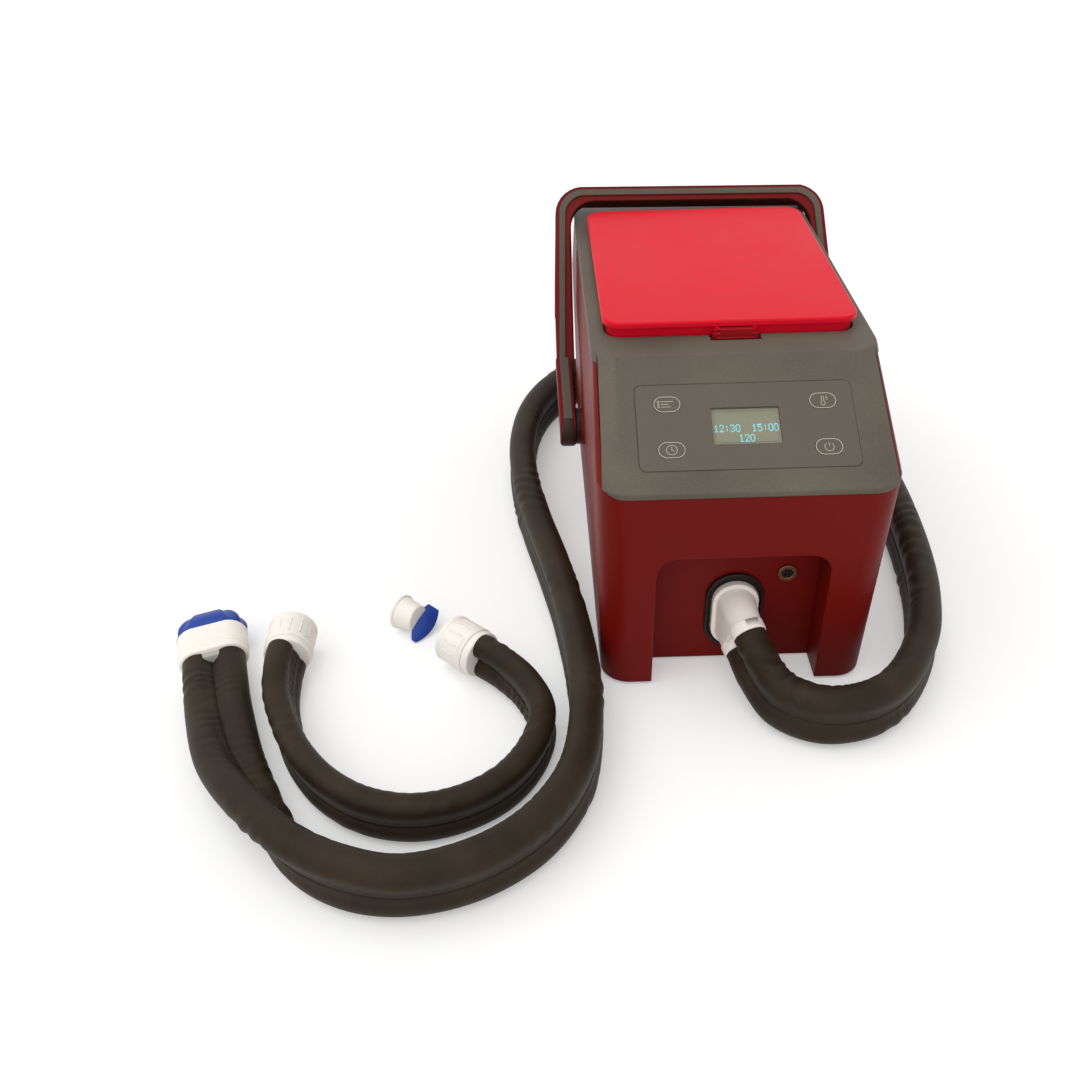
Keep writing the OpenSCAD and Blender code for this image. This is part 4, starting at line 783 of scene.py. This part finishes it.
key_spots = {"mode": (-0.0550, -0.0412), "temperature": (0.0570, -0.0415),
             "timer": (-0.0542, -0.0786), "power": (0.0570, -0.0792)}
thin = 0.0004
for key, (kx, ky) in key_spots.items():
    verts, faces = [], []
    band(slot_path(kx, ky, 0.0188, 0.0124), 0.00050, closed=True)
    if key == "power":
        band(ring_path(kx, ky - 0.0003, 0.0033, 125, 290), thin)
        band([(kx, ky + 0.0034), (kx, ky + 0.0002)], thin)
    if key == "timer":
        band(ring_path(kx, ky, 0.0038), thin, closed=True)
        band([(kx, ky + 0.0024), (kx, ky), (kx + 0.0018, ky - 0.0010)], thin)
    if key == "temperature":
        band(ring_path(kx, ky - 0.0022, 0.0016, 118, 304), thin)
        band([(kx - 0.0008, ky - 0.0009), (kx - 0.0008, ky + 0.0030), (kx, ky + 0.0038),
              (kx + 0.0008, ky + 0.0030), (kx + 0.0008, ky - 0.0009)], thin)
        for step in (0.0008, 0.0020, 0.0032):
            band([(kx + 0.0022, ky + step), (kx + 0.0036, ky + step)], thin)
    if key == "mode":
        for row, length in ((0.0022, 0.0090), (0, 0.0060), (-0.0022, 0.0075)):
            band([(kx - 0.0045, ky + row), (kx - 0.0045 + length, ky + row)], thin)
            band(ring_path(kx - 0.0062, ky + row, 0.0006, steps=12), thin, closed=True)
    mesh = faced(f"{key}_key_print", verts, faces, ink)
    piece(f"{key}_key_print", mesh, f"{key}_button")

# ---------------------------------------------------------------- display
# A display cell with an olive backlight and cyan dots lies behind a clear window. It
# shows plain figures in two rows of five by seven dots.
figures = {"0": "0E11111111110E", "1": "040C040404040E", "2": "0E11010204081F",
           "3": "0E11010601110E", "4": "02060A121F0202", "5": "1F101E0101110E",
           "6": "0E10101E11110E", "7": "1F010204040404", "8": "0E11110E11110E",
           "9": "0E11110F01010E", ":": "0004040004040", " ": "00000000000000"}
cell_finish = grained("display_backlight", tone(138, 137, 116), 0.5, 0.0009, 0.00001, 0.06)
cell_shader = cell_finish.node_tree.nodes["Principled BSDF"]
cell_shader.inputs["Emission Color"].default_value = tone(140, 142, 122)
cell_shader.inputs["Emission Strength"].default_value = 0.14
dot_finish = grained("display_dots", tone(120, 205, 215), 0.5, 0.0009, 0.00001, 0.05)
dot_shader = dot_finish.node_tree.nodes["Principled BSDF"]
dot_shader.inputs["Emission Color"].default_value = tone(130, 214, 226)
dot_shader.inputs["Emission Strength"].default_value = 0.55
window_finish = grained("display_window_clear", tone(120, 122, 108), 0.08, 0.002, 0.000002, 0.03,
                        alpha=0.12)
dress(window_finish, "display_window")
dress(black_plastic, "display_module", "key_switches")
cell_x, cell_y, cell_z = 0.0005, -0.060, -0.00218
verts = [on_panel(cell_x + sx * 0.0243, cell_y + sy * 0.0148, cell_z)
         for sx, sy in ((-1, -1), (1, -1), (1, 1), (-1, 1))]
piece("display_cell", faced("display_cell", verts, [(0, 1, 2, 3)], cell_finish), "housing")


def dot_tree():
    """A dot of the display on each point."""
    tree = bpy.data.node_groups.new("display_dots", "GeometryNodeTree")
    tree.interface.new_socket("Points", in_out="INPUT", socket_type="NodeSocketGeometry")
    wide = tree.interface.new_socket("Dot width", in_out="INPUT", socket_type="NodeSocketFloat")
    high = tree.interface.new_socket("Dot height", in_out="INPUT", socket_type="NodeSocketFloat")
    tilt = tree.interface.new_socket("Panel lean", in_out="INPUT", socket_type="NodeSocketRotation")
    finish = tree.interface.new_socket("Dot finish", in_out="INPUT",
                                       socket_type="NodeSocketMaterial")
    tree.interface.new_socket("Dots", in_out="OUTPUT", socket_type="NodeSocketGeometry")
    entry, leave = tree.nodes.new("NodeGroupInput"), tree.nodes.new("NodeGroupOutput")
    dot = tree.nodes.new("GeometryNodeMeshGrid")
    dot.inputs["Vertices X"].default_value = 2
    dot.inputs["Vertices Y"].default_value = 2
    put = tree.nodes.new("GeometryNodeInstanceOnPoints")
    real = tree.nodes.new("GeometryNodeRealizeInstances")
    paint = tree.nodes.new("GeometryNodeSetMaterial")
    join = tree.links.new
    join(entry.outputs["Dot width"], dot.inputs["Size X"])
    join(entry.outputs["Dot height"], dot.inputs["Size Y"])
    join(entry.outputs["Points"], put.inputs["Points"])
    join(dot.outputs["Mesh"], put.inputs["Instance"])
    join(entry.outputs["Panel lean"], put.inputs["Rotation"])
    join(put.outputs[0], real.inputs[0])
    join(real.outputs[0], paint.inputs["Geometry"])
    join(entry.outputs["Dot finish"], paint.inputs["Material"])
    join(paint.outputs[0], leave.inputs[0])
    return tree, wide.identifier, high.identifier, tilt.identifier, finish.identifier


dots = []
for text, first_x, row_y in (("12:30  15:00", -0.0233, -0.0611), ("120", -0.0058, -0.0693)):
    for place, figure in enumerate(text):
        code = figures[figure].ljust(14, "0")
        for row in range(7):
            bits = int(code[2 * row:2 * row + 2], 16)
            for column in range(5):
                if bits >> (4 - column) & 1:
                    dots.append(on_panel(
                        cell_x + first_x + place * 0.0039 + column * 0.00066 + 0.0004,
                        row_y + (3 - row) * 0.00088, cell_z + 0.00006))
dots_mesh = bpy.data.meshes.new("display_figures")
dots_mesh.from_pydata(dots, [], [])
figures_piece = bpy.data.objects.new("display_figures", dots_mesh)
bpy.context.scene.collection.objects.link(figures_piece)
dots_tree, dot_wide, dot_high, dot_tilt, dot_paint = dot_tree()
dots_nodes = figures_piece.modifiers.new("dots", "NODES")
dots_nodes.node_group = dots_tree
dots_nodes[dot_wide] = 0.00064
dots_nodes[dot_high] = 0.00084
dots_nodes[dot_tilt] = panel_lean.to_euler()
dots_nodes[dot_paint] = dot_finish
figures_piece.data = applied(figures_piece)
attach(figures_piece, "housing")
board_green = grained("board_green", tone(38, 104, 62), 0.4, 0.0015, 0.00002, 0.14)
dress(board_green, "control_board")

# ---------------------------------------------------------------- lid
# The lid is a bright red satin plate with a skirt, hinged at the back on two pins and
# held by a small red latch in front. A black seal runs inside the skirt.
# The skirt is eased less than the plate, and the hinge knuckles stay sharp, because eased
# ones clip the cover when the lid stands open.
lid_red = grained("lid_red_plastic", tone(225, 13, 40), 0.36, 0.0009, 0.00001, 0.03,
                  specular=0.12)
eased("lid", "lid_red_plate", 0.0015, lid_red, "lid",
      share=lambda middle: 1.0 if middle.z > 0.2482 else 0.0 if middle.y > 0.145 else 0.3)
latch_red = grained("latch_red_plastic", tone(158, 18, 26), 0.36, 0.0009, 0.00001, 0.04,
                    specular=0.15)
eased("lid_latch", "lid_latch_red", 0.0006, latch_red, "latch")
dress(seals_finish, "lid_seal", "tank_gasket")


# ---------------------------------------------------------------- handle
# A red bail swings on two bolts low on the sides. A grey-brown strip is set on its front, and a
# copy of it, darkened with painted shade, goes on round each pivot. Parked, the bail leans back,
# its arms turned about a degree in opposite directions and bowed 3 mm out. Its inner faces carry
# painted shade.
pivot_y, pivot_z = 0.030, 0.096
arm_length = 0.231
arm_from_x = 0.09


def flexed(point):
    """Turns a point of the bail about the pivots, more lean to the right, and bows its arms."""
    along = ((point.y - pivot_y) * 0.682 + (point.z - pivot_z) * 0.7314) / arm_length
    if abs(point.x) > arm_from_x and 0 < along < 1:
        point = point + Vector((math.copysign(0.0030, point.x) * math.sin(math.pi * along), 0, 0))
    turn = Matrix.Rotation(-math.radians(1.2) * point.x / 0.125, 3, "X")
    centre = Vector((point.x, pivot_y, pivot_z))
    return centre + turn @ (point - centre)


handle_red = grained("handle_red_plastic", tone(112, 16, 13), 0.42, 0.0007, 0.00003, 0.06,
                     specular=0.13)
trim_grey = grained("trim_grey_plastic", tone(92, 82, 72), 0.46, 0.0011, 0.00004, 0.09)
handle = eased("handle_frame", "handle_frame_red", 0.0012, handle_red, "handle",
               reshape=flexed, near=0.0001)
eased("handle_trim", "handle_trim_grey", 0.0008, trim_grey, "handle",
      reshape=flexed)
dress(black_plastic, "pivot_washers", "pivot_bolts")
# Painted shade: the strip round each pivot is the trim's grey, darkened where it faces down.
trim_shade_paint = grained("trim_grey_painted_shade", tone(62, 48, 41), 0.44, 0.0011, 0.00004, 0.10,
                    specular=0.16)
pivot = Vector((0, pivot_y, pivot_z))
forward, upright = Vector((0, -0.7340, 0.6791)), Vector((0, 0.6791, 0.7340))
paddle, strip_w, strip_t = 0.0168, 0.0080, 0.0014
strip_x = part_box("handle_trim")[1][0] - 0.0001
verts, faces = [], []
for side in (1, -1):
    first, rows = len(verts), 19
    for row in range(rows):
        turn = math.radians(-12 + 7 * row)
        pull = 0.0 if row < rows - 3 else (0.0006, 0.0016, 0.0032)[row - rows + 3]
        for across, rise in ((0, 0), (0, 0.7), (0.12, 1), (0.88, 1), (1, 0.7), (1, 0)):
            out = paddle + strip_t * rise * (1 if row < rows - 1 else 0.4)
            more = between(row, 1, 5)
            x = strip_x + 0.0026 * more - pull - across * (strip_w + 0.0038 * more - 2 * pull)
            verts.append(flexed(pivot + Vector((side * x, 0, 0)) + forward * out * math.cos(turn)
                                - upright * out * math.sin(turn)))
    for row in range(rows - 1):
        for k in range(6):
            a, b = first + 6 * row + k, first + 6 * row + (k + 1) % 6
            faces.append((a, b, b + 6, a + 6) if side < 0 else (a, a + 6, b + 6, b))
    ends = (tuple(first + k for k in range(6)),
            tuple(first + 6 * (rows - 1) + k for k in range(6)))
    faces.append(ends[0] if side > 0 else ends[0][::-1])
    faces.append(ends[1][::-1] if side > 0 else ends[1])
mesh = faced("handle_trim_ends", verts, faces, trim_shade_paint)
smoothed(mesh, 40)
piece("handle_trim_ends", mesh, "handle")
# Painted shade: a dark red sheet over the bail's inner faces, where the bail shades itself and the
# body.
bail_shade_paint = grained("bail_red_painted_shade", tone(62, 19, 14), 0.46, 0.0009, 0.00003, 0.08,
                     specular=0.12)
verts, faces = [], []
along_arm = Vector((0, 0.682, 0.7314))
for face in handle.data.polygons:
    middle = face.center
    reach = (middle - Vector((middle.x, pivot_y, pivot_z))).dot(along_arm)
    widest = max(abs(handle.data.vertices[k].co.x) for k in face.vertices)
    under_top = reach > 0.19 and face.normal.dot(along_arm) < -0.6
    on_arm = (face.normal.x * middle.x < 0 and abs(face.normal.x) > 0.5
              and abs(middle.x) > arm_from_x)
    front_edge = face.normal.dot(forward) > 0.9 and widest < strip_x - 0.0015
    if reach > 0.026 and (under_top or on_arm or front_edge):
        first = len(verts)
        verts += [handle.data.vertices[k].co + face.normal * 0.00015 for k in face.vertices]
        faces.append(tuple(range(first, len(verts))))
piece("bail_painted_shade_sheet", faced("bail_painted_shade_sheet", verts, faces, bail_shade_paint), "handle")

# ---------------------------------------------------------------- reservoir, pump and tubes
# Inside, a white tank hangs from the cover on a gasket. A small black pump stands under
# it, and clear tubes lead from it to the cooler and the socket.
tank_white = grained("tank_white_plastic", tone(232, 230, 224), 0.45, 0.0010, 0.00002, 0.03)
clear_tube = grained("clear_tube_plastic", tone(205, 212, 214), 0.22, 0.0012, 0.00001, 0.05,
                     alpha=0.7)
dress(tank_white, "reservoir_tank", "pump_impeller")
dress(black_plastic, "pump_body", "pump_cover")
dress(clear_tube, "tank_tube", "pump_tube", "supply_tube", "return_tube")

# ---------------------------------------------------------------- cooler
# A water block, two ceramic modules and a finned sink stand in a cradle at the back,
# with a 120 mm fan behind them.
aluminium = metal("sink_aluminium", tone(196, 199, 202), 0.34)
copper = metal("block_copper", tone(206, 148, 118), 0.36)
ceramic = grained("module_ceramic", tone(236, 234, 228), 0.6, 0.0006, 0.00001, 0.03)
fan_black = grained("fan_black_plastic", tone(32, 32, 34), 0.42, 0.0009, 0.00002, 0.10)
dress(aluminium, "heat_sink")
dress(copper, "water_block")
dress(ceramic, "thermo_modules")
dress(base_black, "cooler_cradle")
dress(fan_black, "fan_frame", "fan_rotor")
